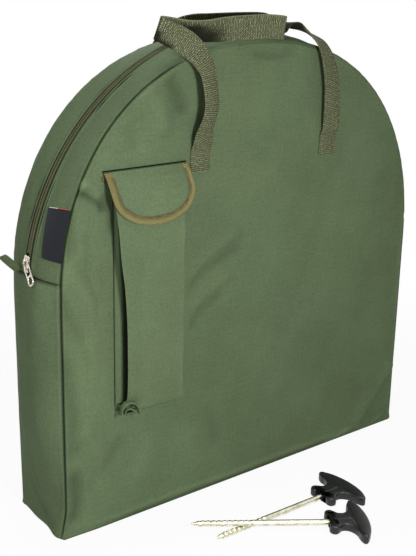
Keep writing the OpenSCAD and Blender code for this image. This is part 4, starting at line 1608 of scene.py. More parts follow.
    def tab(self) -> Piece:
        """Makes the folded ribbon tab at the closed end, as a flattened loop."""
        t = np.linspace(0, 1, 25)
        lens = columns(0.6 + 31.0 * t, np.sin(math.pi * t) ** 0.6)
        lens = np.concatenate([lens, lens[-2:0:-1] * [1, -1]])
        reach = unit(np.array([-1.0, 0.0, 1.0]))
        width = unit(np.array([-0.45, 0.77, -0.45]))
        face = np.cross(reach, width)
        root = np.array([-self.radius + 1.6, 16.9, 337.4])
        run = root + lens[:, :1] * reach + lens[:, 1:] * face
        piece = sweep("zip_end_ribbon", run, width, flat_profile(11, 1.1), True)
        return dress(piece, Finish.RIBBON)

    def label(self) -> Piece:
        """Makes the plain woven label, sewn into the front seam and bowing off the gusset."""
        rows = []
        away = np.linspace(0, 1, 18)
        count = 22
        for t, seam, zipped in zip(np.linspace(0, 1, count), self.form.arch(*self.label_seam, count),
                                   self.form.arch(*self.label_zip, count)):
            y = -self.form.half_d + 0.7 + (28 + 9 * t) * away
            lift = 0.9 + 0.9 * away * (1 - 0.5 * away) + 0.25 * np.sin(3.1 * t + 2 * away)
            rows.append([self.form.spot(seam * (1 - k) + zipped * k, out, up)
                         for k, out, up in zip(away, y, lift)])
        return dress(skin("side_label_woven", np.array(rows), 0.55, inward=-1.0), Finish.LABEL)

    def label_threads(self) -> list[Piece]:
        """Makes the overlocked threads along the label's upper edge, and returns them."""
        low_end, high_end = self.form.arch(*self.label_top, 2)
        made = []
        for name, finish, low, high in (("label_edge_red", Finish.RED_THREAD, -51, -37),
                                        ("label_edge_white", Finish.WHITE_THREAD, -35, -22)):
            y = np.linspace(low, high, 12)
            run = np.array([self.form.spot(high_end * (1 - k) + low_end * k, v, 1.6)
                            for v, k in zip(y, (y + 55.8) / 37)])
            made.append(Repeater(name, 1.25, finish).along([run], stitch_stamp(1.7, 0.5), "label"))
        return made

    def end_patches(self) -> Piece:
        """Makes the cloth patches behind both zip ends, and returns them as one piece."""
        parts = Parts()
        reach = self.teeth_from + 1.5 - self.patch_from
        for low in (self.patch_from, 180 - self.patch_from - reach):
            grid = np.stack([self.arc(self.radius - 4.4, y, low, low + reach, 14)
                             for y in np.linspace(-21, 5.2, 12)], axis=1)
            inner = grid - unit(grid - np.array([0, 0, self.form.shoulder])) * [1, 0, 1] * 0.9
            parts.sheet(grid, inner, uv_of(grid))
        return dress(parts.make("zip_end_cloth"), Finish.LINING)

    def build(self) -> None:
        """Makes and places every zip piece."""
        for name, body, side, low in (("front", "bag", -1, self.tape_from),
                                      ("rear", "rear_leaf", 1, self.teeth_from)):
            tape = self.tape(f"zip_tape_{name}_woven", side, low)
            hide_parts(f"zip_tape_{name}")
            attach(tape, body)
            coil = self.coil(f"zip_coil_{name}", side)
            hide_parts(f"zip_teeth_{name}")
            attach(coil, body)
        for piece, node, body in ((self.slider(), "zip_slider", "zip_slider"),
                                  (self.pull(), "zip_pull", "zip_pull"),
                                  (self.tab(), "zip_end_tab", "bag"),
                                  (self.label(), "side_label", "bag"),
                                  (self.end_patches(), "zip_end_patches", "bag")):
            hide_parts(node)
            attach(piece, body)
        for piece in self.label_threads():
            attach(piece, "bag")
        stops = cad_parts["zip_stops"]
        stops.data.materials.clear()
        stops.data.materials.append(Finish.NICKEL.material())
        LOG.info("zip built")


# ---------- handles ----------


@dataclass
class Handle:
    """One webbing handle: two sewn legs and a loop over the bag's top."""

    name: str
    side: float
    carrier: str
    route: tuple[tuple[float, ...], ...]
    legs: tuple[float, float] = (-98.0, 123.0)
    width: float = 30.0
    thickness: float = 2.3
    low: float = 447.0
    sewn_top: float = 472.0
    flat_y: float = 57.9
    rising_y: float = 58.6
    box_half: float = 11.8

    def run(self) -> Array:
        """Returns the strap's stations, each a point and the direction of its width there."""
        flat, rising = self.side * self.flat_y, self.side * self.rising_y
        start, end = self.route[0], self.route[-1]
        head = [(self.legs[0], flat, z, 1, 0, 0) for z in (self.low, 458, 469)]
        head.append((start[0], rising, 474, 1, 0, 0))
        tail = [(self.legs[1], flat, z, end[3], 0, 0) for z in (469, 458, self.low)]
        tail.insert(0, (end[0], rising, 474, end[3], 0, 0))
        return spline(head + list(self.route) + tail, 7)

    def build(self) -> None:
        """Makes the strap and its stitches."""
        run = self.run()
        strap = sweep(f"{self.name}_webbing", run[:, :3], run[:, 3:],
                      flat_profile(self.width, self.thickness))
        self.even_uv(strap)
        self.paint_tucked_shade(strap)
        dress(strap, Finish.WEBBING)
        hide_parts(self.name, self.name + "_ends")
        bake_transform(strap)
        sewn = Repeater(f"{self.name}_stitches", 2.6, Finish.OLIVE_THREAD).along(
            self.box_stitches(), stitch_stamp(2.1, 0.42), "webbing")
        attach(sewn, self.carrier)
        LOG.info("%s built", self.name)

    def box_stitches(self) -> list[Array]:
        """Returns the runs of a crossed box of stitches on each leg."""
        runs = []
        t = np.linspace(0, 1, 8)
        face = self.side * (self.flat_y + self.thickness / 2 + 0.05)
        for x in self.legs:
            left, right = x - self.box_half, x + self.box_half
            bottom, top = self.low + 3.2, self.sewn_top
            corners = [(left, bottom), (right, bottom), (right, top), (left, top), (left, bottom),
                       (right, top)]
            for (x0, z0), (x1, z1) in (*zip(corners, corners[1:]), ((left, top), (right, bottom))):
                runs.append(columns(x0 + (x1 - x0) * t, face, z0 + (z1 - z0) * t))
        return runs

    def paint_tucked_shade(self, strap: Piece) -> None:
        """Paints shade on the strap where it lies tucked behind another part of itself."""
        x, y, z = points_of(strap).T
        behind = ease((-36 - x) / 52) * ease((y + 61) / 4) * ease((z - 592) / 8)
        turned = ease((x - 22) / 5) * (1 - ease((x - 70) / 22)) * ease((y + 66.5) / 2.5) * ease((z - 590) / 8)
        # painted shade: on the front strap where it is tucked and turned, on the rear strap over the top
        front, rear = 0.97 * behind + 0.85 * turned, 0.35 * ease((z - 600) / 12)
        set_painted_shading(strap.data, -(front if self.side < 0 else rear))

    def even_uv(self, strap: Piece) -> None:
        """Folds the UV that runs round the strap's profile, so that u crosses each of its faces."""
        layer = strap.data.uv_layers["cloth"]
        uv = np.zeros(len(layer.data) * 2, np.float32)
        layer.data.foreach_get("uv", uv)
        width = self.width * MM
        uv[::2] = np.abs((uv[::2] % (2 * width)) - width)
        layer.data.foreach_set("uv", uv)


FRONT_ROUTE = (
    (-98, -60.5, 478, 1, 0, 0), (-98.5, -63.5, 484, 1, 0.04, 0), (-101, -70, 498, 1, 0.2, 0),
    (-99, -76, 514, 1, 0.34, 0), (-96.5, -78, 530, 1, 0.34, 0), (-97, -77, 545, 1, 0.34, 0.04),
    (-99, -74, 566, 0.98, 0.3, 0.16), (-103, -70.5, 580, 0.9, 0.2, 0.4),
    (-111, -67, 592, 0.74, 0.05, 0.68), (-121, -64.5, 601, 0.5, -0.15, 0.86),
    (-133, -63, 608.5, 0.3, -0.3, 0.9), (-146, -62, 614.5, 0.15, -0.45, 0.9),
    (-156, -61, 618.5, 0.06, -0.5, 0.87), (-161, -59, 620.5, 0, -0.5, 0.87),
    (-162, -57, 621.6, 0, -0.5, 0.87), (-160, -54.6, 622.4, 0, -0.45, 0.89),
    (-152, -52.6, 622, 0, -0.48, 0.88), (-140, -51.8, 620.5, 0, -0.5, 0.87),
    (-117, -52.5, 617.5, 0, -0.52, 0.86), (-89, -55.5, 617, 0, -0.42, 0.9),
    (-62, -57.5, 618.3, 0, -0.12, 1), (-36, -59.5, 619.3, 0, 0.1, 1), (-2, -63, 620.3, 0.03, 0.12, 1),
    (14, -65.5, 619.6, 0.06, 0.08, 1), (23, -67, 618.6, 0.12, 0.04, 1), (27.5, -66.3, 618, 0.2, 0.03, 1),
    (28.3, -63, 617.8, 0.15, 0.1, 0.97), (26.5, -59.3, 619, 0.1, 0.35, 0.9),
    (26, -56, 620.6, 0, 0.7, 0.7), (29.5, -52.6, 622, -0.1, 0.88, 0.44),
    (37.5, -50, 622.8, -0.3, 0.94, 0.14), (47.5, -48.3, 622.6, -0.42, 0.9, 0),
    (60, -49, 619.6, -0.28, 0.93, -0.06), (73, -53, 613.4, 0.12, 0.95, 0.1),
    (86, -58, 605, 0.55, 0.8, 0.15),
    (97.5, -63.4, 594.3, 0.84, 0.48, 0.1), (106, -66.6, 579.3, 0.95, 0.3, 0.03),
    (112, -68, 560.5, 0.98, 0.18, 0), (116.5, -68, 541, 0.99, 0.1, 0), (118, -68, 520, 1, 0.06, 0),
    (119.7, -66.5, 500, 1, 0.03, 0), (122.6, -63.5, 484, 1, 0, 0), (123, -60.5, 478, 1, 0, 0))
REAR_ROUTE = (
    (-98, 60.5, 478, 1, 0, 0), (-97.5, 63, 484, 1, 0, 0), (-94, 68, 500, 1, 0, 0),
    (-86, 73, 535, 1, 0, -0.07), (-75, 72, 568, 0.99, 0, -0.14), (-67, 66, 590, 0.96, 0.05, -0.28),
    (-62, 56, 606, 0.83, 0.3, -0.56), (-55, 44, 616, 0.53, 0.7, -0.85), (-42, 36, 620.5, 0.21, 0.9, -0.98),
    (-22, 32, 621.5, 0, 1, -1), (8, 31, 622, 0, 1, -1), (40, 31, 622, 0, 1, -1),
    (64, 33, 621, -0.1, 0.95, -0.99), (84, 40, 617, -0.37, 0.8, -0.93), (100, 50, 606, -0.74, 0.5, -0.67),
    (112, 60, 588, -0.94, 0.2, -0.34), (118, 67, 560, -0.99, 0.05, -0.14), (121, 69, 525, -1, 0, -0.03),
    (122.6, 64, 486, -1, 0, 0), (123, 60.5, 478, -1, 0, 0))


# ---------- peg pocket and flap ----------


@dataclass
class PegPocket:
    """Bellows pocket for the pegs, with a bound flap that covers its slanting mouth."""

    left: float = -225.0
    right: float = -124.0
    bottom: float = 156.0
    top: float = 450.0
    depth: float = 25.0
    flap_x: float = -180.0
    flap_half: float = 60.0
    fold_z: float = 461.5
    flap_h: float = 63.0
    flap_side: float = 20.0
    panel: float = 56.5
    # sections of the bellows, as distance from the pocket's edge and share of the depth
    left_fold: tuple[tuple[float, float], ...] = (
        (-2, 0.02), (1, 0.07), (6, 0.2), (10.6, 0.32), (12.4, 0.4), (13.6, 0.56), (10, 0.8),
        (3, 0.93), (1.7, 0.975), (4.5, 1), (20, 1.03), (44, 1.05))
    right_fold: tuple[tuple[float, float], ...] = (
        (-38, 1.04), (-20, 1.01), (-14.5, 0.985), (-13.2, 0.88), (-14.5, 0.66), (-15.4, 0.46),
        (-12.5, 0.28), (-3, 0.06), (1.5, 0.02))
    # y and z along the flap's outer face, from its fold to its lower edge
    line: tuple[tuple[float, float], ...] = (
        (-60.6, 461.5), (-67.0, 456.0), (-79.0, 436.0), (-86.7, 396.0), (-87.0, 380.0))

    def flap_y(self, z: Array) -> Array:
        """Returns y of the flap's outer face at heights, with its bends rounded."""
        z = np.asarray(z, float)
        corners = np.array(self.line)[::-1]
        total = np.zeros_like(z)
        shifts = (-4.0, -2.0, 0.0, 2.0, 4.0)
        for shift in shifts:
            total = total + np.interp(z + shift, corners[:, 1], corners[:, 0])
        return total / len(shifts)

    def stand_off(self, z: Array) -> Array:
        """Returns how far the pocket's front stands off the panel at heights."""
        lean = -(self.flap_y(z) + 5.4) - self.panel
        rounded = self.depth * np.sqrt(np.clip(1 - (np.clip(9 - (z - self.bottom), 0, 9) / 9) ** 2, 0.02, 1))
        return np.minimum(np.minimum(self.depth, lean), rounded)

    def body(self) -> Piece:
        """Makes the pocket's cloth with its folded sides and the pinched lower corner."""
        fine = spline(np.concatenate([np.array(self.left_fold) + [self.left, 0],
                                      np.array(self.right_fold) + [self.right, 0]]), 5)
        z = np.concatenate([np.linspace(self.bottom, self.bottom + 12, 9)[:-1],
                            np.linspace(self.bottom + 12, self.top, 70)])
        x, zz = np.meshgrid(fine[:, 0], z)
        share = np.meshgrid(fine[:, 1], z)[0]
        sag = waves(x, zz, 90, 51) * 0.5 + waves(x, zz, 34, 52) * 0.25
        front = ease((share - 0.8) / 0.2)
        depth = share * self.stand_off(zz)
        depth = depth + front * sag * ease((zz - self.bottom) / 14) * ease((self.top - zz) / 30)
        # the lower left corner is pinched into a pleat
        pinch = hump(zz - (self.bottom + 13), 11) * hump(x - (self.left + 9), 15)
        depth = depth - 7.0 * pinch * front
        zz = zz + 9.0 * hump(zz - self.bottom, 9) * hump(x - (self.left + 2), 13)
        pleat = hump(np.hypot(x - (self.left + 6), zz - self.bottom - 2) - 17, 2.4)
        depth = depth + 1.8 * pleat * front * (x < self.left + 26)
        # the bellows closes towards the mouth, and the left edge drifts as the cloth hangs
        x = x - 10.5 * ease((zz - 275) / 150) * ease(share / 0.45) * ease((self.left + 58 - x) / 52)
        x = x + 1.2 * np.sin((zz - 160) / 46) * front * hump(x - self.left, 25)
        depth = np.maximum(depth, 0.35)
        grid = columns(x, -self.panel - depth, zz)
        # painted highlight on the pocket's face, its right fold and the pleat; painted shade in the bellows
        # and along its left edge
        wear = 0.2 * front + 0.25 * hump(share - 0.985, 0.03) + 0.3 * pleat * front
        wear = wear - 0.95 * hump(share - 0.66, 0.3) * (x < self.left + 22)
        tucked = ease((fine[None, :, 0] - self.left - 4) / 6) * (x < self.left + 22)
        wear = wear - 0.7 * tucked * ease((0.7 - share) / 0.1)
        wear = wear + 0.6 * hump(x - (self.right - 13.8), 1.4) * (share > 0.8)
        wear = wear - 0.8 * hump(x - (self.left - 2), 1.6) * (share < 0.2)
        return dress(skin("peg_pocket_cloth", grid, 1.1, wear), Finish.CANVAS)

    def shade_strip(self) -> Piece:
        """Makes a thin strip painted dark, as painted shade in the furrow where the flap is sewn on."""
        half = self.flap_half + 1
        gx, gz = lattice((self.flap_x - half, self.flap_x + half, 50),
                         (self.fold_z + 0.1, self.fold_z + 1.9, 4))
        grid = columns(gx, -self.panel - 0.42, gz)
        # painted shade: the whole strip is fully darkened
        return dress(skin("flap_sewn_furrow", grid, 0.3, -1), Finish.CANVAS)

    def pleats(self) -> list[Piece]:
        """Makes the nested curls of the bellows, sewn down at its lower corner, and a sheet painted dark as
        the shade inside them.
        """
        pieces = []
        a = np.linspace(-0.12, math.pi + 0.2, 22)
        for k, (half, rise, out) in enumerate(((11.2, 14.5, 22.0), (5.4, 6.0, 20.5))):
            run = columns(self.left + 7 - half * np.cos(a) - np.sin(a),
                          3 * np.cos(a) - self.panel - out, self.bottom + 5 + rise * np.sin(a))
            across = np.array([0.25, 1, 0.1])
            pieces.append(sweep(f"pocket_pleat_{k + 1}", run, across, flat_profile(9, 1.9)))
        # a sheet painted fully dark, standing for the shade inside the curls
        gx, gz = lattice((self.left - 1.5, self.left + 15.5, 12), (self.bottom + 3.5, self.bottom + 16, 8))
        pieces.append(skin("pocket_pleat_tuck", columns(gx, -self.panel - 19, gz), 1.2, -1))
        return [dress(piece, Finish.CANVAS) for piece in pieces]

    def floor(self) -> Piece:
        """Makes the pocket's bottom cloth."""
        gx, gt = lattice((self.left + 2, self.right - 2, 40), (0, 1, 8))
        grid = columns(gx, -self.panel - 0.3 - 4.2 * gt, self.bottom + 0.9)
        return dress(skin("peg_pocket_floor", grid, 0.8), Finish.CANVAS)

    def flap_rim(self, inset: float = 0.0) -> Array:
        """Returns the flap's outline [x, z] from its top right corner round its lower edge."""
        a = np.radians(np.linspace(0, 180, 61))
        w, h = self.flap_half - inset, self.flap_h - self.flap_side - inset
        lower = columns(self.flap_x + w * np.sign(np.cos(a)) * np.abs(np.cos(a)) ** 0.88,
                        self.fold_z - self.flap_side - h * np.abs(np.sin(a)) ** 0.88)
        drop = self.flap_side * np.linspace(0, 1, 8)
        right = columns(self.flap_x + w, self.fold_z - drop[:-1])
        left = columns(self.flap_x - w, self.fold_z - self.flap_side + drop)
        return np.concatenate([right, lower, left[1:]])

    def surface(self, flat: Array, lift: float = 0.0) -> Array:
        """Returns points on the flap's outer face over [x, z], lifted out by a distance."""
        bow = 1.1 * hump(flat[..., 0] - self.flap_x, 40) * ease((self.fold_z - flat[..., 1]) / 30)
        return columns(flat[..., 0], self.flap_y(flat[..., 1]) - lift - bow + 0.2, flat[..., 1])

    def flap(self) -> Piece:
        """Makes the flap's cloth, from its sewn strip over the fold to its lower edge."""
        half = self.flap_half - 1.2
        top = columns(np.linspace(self.flap_x - half, self.flap_x + half, 40), self.fold_z)[1:-1]
        loop = np.concatenate([self.flap_rim(1.2), top])[::-1]

        def face(x: Array, z: Array, edge: Array) -> tuple[Array, Array]:
            """Returns y and painted shading of the outer face."""
            y = self.surface(columns(x, z))[..., 1] + 0.6
            # painted shade inside the binding's inner edge
            near = -0.8 * hump(edge - 7.3, 1.3) * ease((self.fold_z - 14 - z) / 6)
            return y - 0.18 * waves(x, z, 30, 61) * ease(edge / 8), near + 0 * z

        rings = np.concatenate([[0, 0.02, 0.05], np.linspace(0.1, 0.97, 20)])
        piece = disc_sheet("flap_cloth", loop, (self.flap_x, 432), rings, face, 1.9, -1)
        return dress(piece, Finish.CANVAS)

    def binding(self) -> Piece:
        """Makes the tape that wraps the flap's free edge."""
        edge, deep = (resampled(respaced(self.flap_rim(inset), 2.2), 110) for inset in (0, 8.2))
        upper = [(1.0, 1.3), (0.75, 1.55), (0.3, 1.6), (0.05, 1.35), (-0.05, 0.6)]
        profile = upper + [(across, -lift) for across, lift in upper[::-1]]
        grid = np.stack([self.surface(edge + (deep - edge) * across, lift - 1.7)
                         for across, lift in profile], axis=1)
        grid[..., 1] += 0.14 * waves(grid[..., 0] * 1.3, grid[..., 2], 9, 62)
        parts = Parts()
        parts.tube(grid)
        return dress(parts.make("flap_binding_tape", 60), Finish.BINDING)

    def strip(self) -> Piece:
        """Makes the sewn strip behind the flap, its bound ends showing beyond the pocket."""
        low, high = 450.8, 457.4
        gx, gz = lattice((self.flap_x - self.flap_half - 1.5, self.flap_x + self.flap_half, 60),
                         (low, high, 8))
        y = -self.panel - 1.4 - 0.35 * np.sin((gz - low) / (high - low) * math.pi)
        y = y + 0.08 * waves(gx, gz, 14, 63)
        # the strip is painted darker, as shade under the flap
        strip = skin("flap_sewn_strip", columns(gx, y, gz), 1.3, -0.55)
        return dress(strip, Finish.BINDING)

    def patch(self, name: str, lift: float, thickness: float) -> Piece:
        """Makes a hook or loop patch on the flap's slope at a distance in from its face."""
        gx, gz = lattice((self.flap_x - 20, self.flap_x + 20, 24), (411, 432, 14))
        rows = columns(gx, self.flap_y(gz) + lift + 0.05 * waves(gx, gz, 5, 64), gz)
        return dress(skin(name, rows, thickness), Finish.PILE)

    def hem(self) -> Piece:
        """Makes the bound edge of the pocket's mouth."""
        x = np.linspace(self.left + 7, self.right - 18, 60)
        profile = [(-9, 0.3), (-8.4, 0.8), (-4, 0.85), (-0.6, 0.8), (0.4, 0.2), (0.4, -1.2), (-0.6, -1.9),
                   (-4, -1.9), (-8.4, -1.8), (-9, -1.4)]
        grid = np.stack([columns(x, -self.panel - self.stand_off(z) * 1.02 - out, z)
                         for z, out in np.array(profile) + [self.top, 0]], axis=1)
        parts = Parts()
        parts.tube(grid)
        return dress(parts.make("pocket_mouth_binding", 60), Finish.BINDING)

    def stitches(self) -> list[tuple[Piece, str]]:
        """Makes the flap's and the pocket's stitch rows, each with the body it rides on."""
        sides = [respaced(self.flap_rim(inset), 0.5) for inset in (5.8, 9.8)]
        spots = [sides[k % 2][int(len(sides[k % 2]) * (0.03 + 0.94 * k / 150))] for k in range(151)]
        flap = Repeater("flap_stitches", 2.2, Finish.KHAKI_THREAD).along(
            [self.surface(np.array(spots), 0.25)], stitch_stamp(2.0, 0.5), "binding")
        z = np.linspace(self.bottom + 2, self.top - 4, 60)
        runs = [columns(x, -self.panel - 0.75, z) for x in (self.left - 1.2, self.right + 0.8)]
        pocket = Repeater("pocket_stitches", 2.5, Finish.DARK_THREAD).along(
            runs, stitch_stamp(2.3, 0.42), "canvas")
        return [(flap, "pocket_flap"), (pocket, "bag")]

    def build(self) -> None:
        """Makes and places the pocket and its flap."""
        body = self.body()
        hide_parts("peg_pocket")
        for piece in (body, self.floor(), self.shade_strip(), *self.pleats()):
            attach(piece, "bag")
        for piece, node, rides in ((self.hem(), "pocket_hem", "bag"),
                                   (self.patch("loop_patch", 3.15, 1.9), "pocket_loop_patch", "bag"),
                                   (self.strip(), "flap_strip", "bag"),
                                   (self.flap(), "pocket_flap", "pocket_flap"),
                                   (self.binding(), "flap_binding", "pocket_flap"),
                                   (self.patch("hook_patch", 1.5, 1.3), "flap_hook_patch", "pocket_flap")):
            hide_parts(node)
            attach(piece, rides)
        for piece, rides in self.stitches():
            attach(piece, rides)
        LOG.info("pocket built")


# ---------- folded net ----------


@dataclass
class FoldedNet:
    """The wound hoop in its sleeve, the gathered netting inside it and the holding strap."""

    radius: float = 250.0
    loops: int = 3
    step: float = 13.0
    crossing: float = 150.0
    dip: float = 14.0
    centre: Triple = (0.0, 0.0, 272.0)
    sleeve_d: float = 11.0
    bundle_r: float = 223.0
    strand_pitch: float = 12.0

    def hoop(self, count: int) -> Array:
        """Returns points along the closed hoop, three loops wound side by side."""
        climb = 360 * self.loops - self.crossing
        rise = self.step * climb / 360
        a = np.arange(count) / count * 360 * self.loops
        back = np.maximum(0, (a - climb) / self.crossing)
        level = np.where(a > climb, 1 - ease((back - 0.25) * 2), a / climb)
        r = self.radius - self.dip * ease(back * 4) * ease((1 - back) * 4)
        t = np.radians(a - 45)
        return columns(self.centre[0] + r * np.cos(t), rise * (level - 0.5),
                       self.centre[2] + r * np.sin(t))

    def sleeve(self) -> Piece:
        """Makes the ruched cloth sleeve round the wire."""
        run = self.hoop(720)
        along = unit(np.roll(run, -1, axis=0) - np.roll(run, 1, axis=0))
        w = unit(np.cross(along, [0, 1.0, 0]))
        out = np.cross(along, w)
        s = travelled(run)
        sides = 14
        k = round_about(sides)
        pucker = 0.95 + 0.045 * np.sin(s[:, None] / 5.2 + 1.3 * np.sin(k * 2 + s[:, None] / 60))
        seam = 0.05 * hump((k + 0.4) % (2 * math.pi) - math.pi, 0.25)
        r = (self.sleeve_d / 2 * (pucker + seam))[..., None]
        rows = run[:, None] + r * (np.cos(k)[:, None] * w[:, None] + np.sin(k)[:, None] * out[:, None])
        girth = np.linspace(0, math.pi * self.sleeve_d, sides + 1)
        length = np.append(s, s[-1] + 2)
        parts = Parts()
        parts.grid(np.concatenate([rows, rows[:1]]), columns(girth, length[:, None]), wrap=True)
        return dress(parts.make("hoop_sleeve_cloth", 80, WELD), Finish.SLEEVE)

    def bundle_half(self, x: Array, z: Array) -> Array:
        """Returns half the gathered netting's thickness at places of its disc."""
        r = np.hypot(x, z) / self.bundle_r
        edge = np.sqrt(np.clip(1 - np.clip(r, 0, 1) ** 6, 0, 1))
        lumps = 8.4 + waves(x, z, 90, 71) * 1.3 + waves(x, z, 34, 72) * 0.8
        return np.clip(lumps, 4, 10.6) * edge

    def bundle(self) -> Piece:
        """Makes the gathered mass of netting."""
        parts = Parts()
        count = 150
        rings = np.concatenate([np.linspace(0.04, 0.9, 40), np.linspace(0.92, 1.0, 9)])[:, None]
        a = round_about(count)
        r = rings * self.bundle_r * (1 + 0.012 * waves(a * 60, rings * 9, 40, 73))
        x, z = r * np.cos(a), r * np.sin(a)
        uv = columns(x, z)
        uv = np.concatenate([uv, uv[:, :1]], axis=1)
        for side in (-1, 1):
            grid = columns(x, side * self.bundle_half(x, z), z + self.centre[2])
            first = parts.grid(grid, uv, wrap=True, flip=side > 0)
            parts.cap([first + j for j in range(count)])
        return dress(parts.make("netting_mass", 80, 20 * WELD), Finish.NETTING)

    def strands(self) -> Piece:
        """Makes the knotted strands that lie over the netting mass, by geometry nodes."""
        points, edges, index = [], [], {}
        step, reach = self.strand_pitch * 0.62, 17
        for i in range(-reach, reach + 1):
            for j in range(-reach, reach + 1):
                x, z = (i + j) * step, (i - j) * step
                x, z = x + 3 * math.sin(z / 31 + i), z + 3 * math.sin(x / 27 - j)
                if math.hypot(x, z) > self.bundle_r - 11:
                    continue
                for side in (-1, 1):
                    y = side * (float(self.bundle_half(x, z)) + 0.7)
                    index[i, j, side] = len(points)
                    points.append((x * MM, y * MM, (z + self.centre[2]) * MM))
        for (i, j, side), first in index.items():
            for other in ((i + 1, j, side), (i, j + 1, side)):
                if other in index:
                    edges.append((first, index[other]))
        return grown("netting_strands", points, edges, self.strand_tree(),
                     {"Strand": 0.9 * MM, "Knot": 1.5 * MM}, Finish.NETTING)

    def strand_tree(self) -> bpy.types.NodeTree:
        """Builds and returns the tree that turns edges into strands and corners into knots."""
        return node_tree(
            "netting_strands", Finish.NETTING, {"Guide": "Geometry", "Strand": "Float", "Knot": "Float"},
            {"split": "SplitEdges", "curve": "MeshToCurve", "ring": "CurvePrimitiveCircle",
             "tube": "CurveToMesh", "ball": "MeshIcoSphere", "knots": "InstanceOnPoints",
             "both": "JoinGeometry"},
            {"ring.Resolution": 4, "tube.Fill Caps": True, "ball.Subdivisions": 1},
            (("ins.Guide", "split.Mesh"), ("split.Mesh", "curve.Mesh"), ("ins.Strand", "ring.Radius"),
             ("curve.Curve", "tube.Curve"), ("ring.Curve", "tube.Profile Curve"),
             ("ins.Knot", "ball.Radius"), ("ins.Guide", "knots.Points"), ("ball.Mesh", "knots.Instance"),
             ("tube.Mesh", "both.Geometry"), ("knots.Instances", "both.Geometry"),
             ("both.Geometry", "real.Geometry")))

    def strap(self) -> Piece:
        """Makes the elastic strap that holds the loops together."""
        y, low, high = 21.6, -24.6, 7.4
        corners = np.array([(-y, high), (y, high), (y, low), (-y, low)])
        path = [a + (b - a) * t for a, b in zip(corners, np.roll(corners, -1, axis=0))
                for t in (0.16, 0.3, 0.5, 0.7, 0.84)]
        path = spline(path, 4, closed=True)
        run = columns(0, path[:, 0], path[:, 1] + self.centre[2] + self.radius)
        piece = sweep("net_strap_elastic", run, np.array([1.0, 0, 0]), flat_profile(25, 1.3), True)
        return dress(piece, Finish.SLEEVE)

    def build(self) -> None:
        """Makes and places the folded net."""
        for piece, node in ((self.sleeve(), "hoop_sleeve"), (self.bundle(), "netting_bundle"),
                            (self.strap(), "net_strap")):
            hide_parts(node)
            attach(piece, "bag")
        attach(self.strands(), "bag")
        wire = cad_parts["hoop_wire"]
        wire.data.materials.clear()
        wire.data.materials.append(Finish.SPRING_STEEL.material())
        LOG.info("folded net built")


# ---------- ground pegs ----------


@dataclass
class GroundPeg:
    """Screw-in peg: a threaded shank in a moulded grip with two hooks."""

    name: str
    place: Triple
    turns: tuple[float, float]
    length: float = 231.0
    shank_d: float = 7.8
    thread: float = 84.0
    pitch: float = 7.0
    sides: int = 28
    # half the thickness and the edge radius of the grip and of its crown
    grip_edge: tuple[float, float] = (6.0, 2.4)
    crown_edge: tuple[float, float] = (7.0, 3.0)
    crown_from: float = 211.0
    crown_middle: float = 219.0
    # half of the grip's outline, as places along the peg and distances from its middle line
    grip_half: tuple[tuple[float, float], ...] = (
        (186, 0), (186, 5.5), (187.2, 9), (186, 13), (183, 14), (181.5, 11.5), (179, 10), (177, 13),
        (177.2, 18), (180.5, 21.5), (185.5, 22), (190, 18.5), (194, 14.5), (200, 14), (205, 17),
        (209, 23), (211, 30), (212, 37), (214.5, 43), (217.5, 44.5), (220.5, 43), (224, 37),
        (227.5, 28), (230, 15), (231, 0))

    def matrix(self) -> Matrix:
        """Returns the matrix from the peg's own axes, x from tip to crown, to the row."""
        z, y = (math.radians(t) for t in self.turns)
        return (Matrix.Translation(Vector(self.place) * MM) @ Matrix.Rotation(z, 4, "Z")
                @ Matrix.Rotation(y, 4, "Y"))

    def turned(self, name: str, along: Array, radii: Array, sharp: float) -> Piece:
        """Makes a closed round body from places along the peg and the radii of its rings."""
        k = round_about(self.sides)
        parts = Parts()
        parts.tube(columns(along[:, None], radii * np.cos(k), radii * np.sin(k)))
        return parts.make(name, sharp)

    def shank(self) -> Piece:
        """Makes the shank with its rolled thread and blunt tip."""
        s = np.concatenate([np.arange(0, self.thread, 0.55), np.linspace(self.thread, 186, 60),
                            np.linspace(188, 222, 6)])
        taper = np.minimum(1, 0.16 + 0.84 * s / 11)
        fade = ease((self.thread - s) / 8)
        lobe = 0.5 + 0.5 * np.cos(2 * math.pi * s[:, None] / self.pitch - round_about(self.sides))
        core = self.shank_d / 2 - 0.5 * (s < self.thread - 4) * np.clip((self.thread - 4 - s) / 3, 0, 1)
        r = taper[:, None] * (core[:, None] + 0.62 * lobe ** 1.6 * fade[:, None])
        piece = self.turned(f"{self.name}_shank_rolled", s, r, 60)
        return dress(placed(piece, self.matrix()), Finish.ZINC)

    def grip(self) -> Piece:
        """Makes the moulded grip with its thicker crown and rounded edges."""
        half = np.array(self.grip_half)
        full = np.concatenate([half, half[-2:0:-1] * [1, -1]])
        outline = respaced(spline(np.concatenate([full, full[:1]]), 5), 1.0)[:-1]
        x, y = outline.T
        if np.sum(x * np.roll(y, -1) - np.roll(x, -1) * y) < 0:
            outline = outline[::-1]
        slab = rounded_slab(f"{self.name}_grip_moulded", outline, *self.grip_edge)
        top = full[full[:, 0] >= self.crown_from]
        ring = top[np.argsort(np.arctan2(top[:, 1], top[:, 0] - self.crown_middle))]
        crown_line = respaced(spline(np.concatenate([ring, ring[:1]]), 4), 1.4)[:-1]
        slab = joined(slab, [rounded_slab("crown", crown_line, *self.crown_edge), self.collar()])
        return dress(placed(slab, self.matrix()), Finish.GRIP)

    def collar(self) -> Piece:
        """Makes the round socket where the shank enters the grip."""
        s = np.array([185.2, 185.6, 187, 200, 208, 211, 212])
        r = np.array([4.1, 5.9, 6.6, 6.9, 6.4, 5.0, 3.0])
        return self.turned("collar", s, r[:, None], 50)

    def build(self) -> None:
        """Makes and places the peg."""
        for piece, node in ((self.shank(), f"{self.name}_shank"), (self.grip(), f"{self.name}_grip")):
            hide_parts(node)
            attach(piece, self.name)
        LOG.info("%s built", self.name)


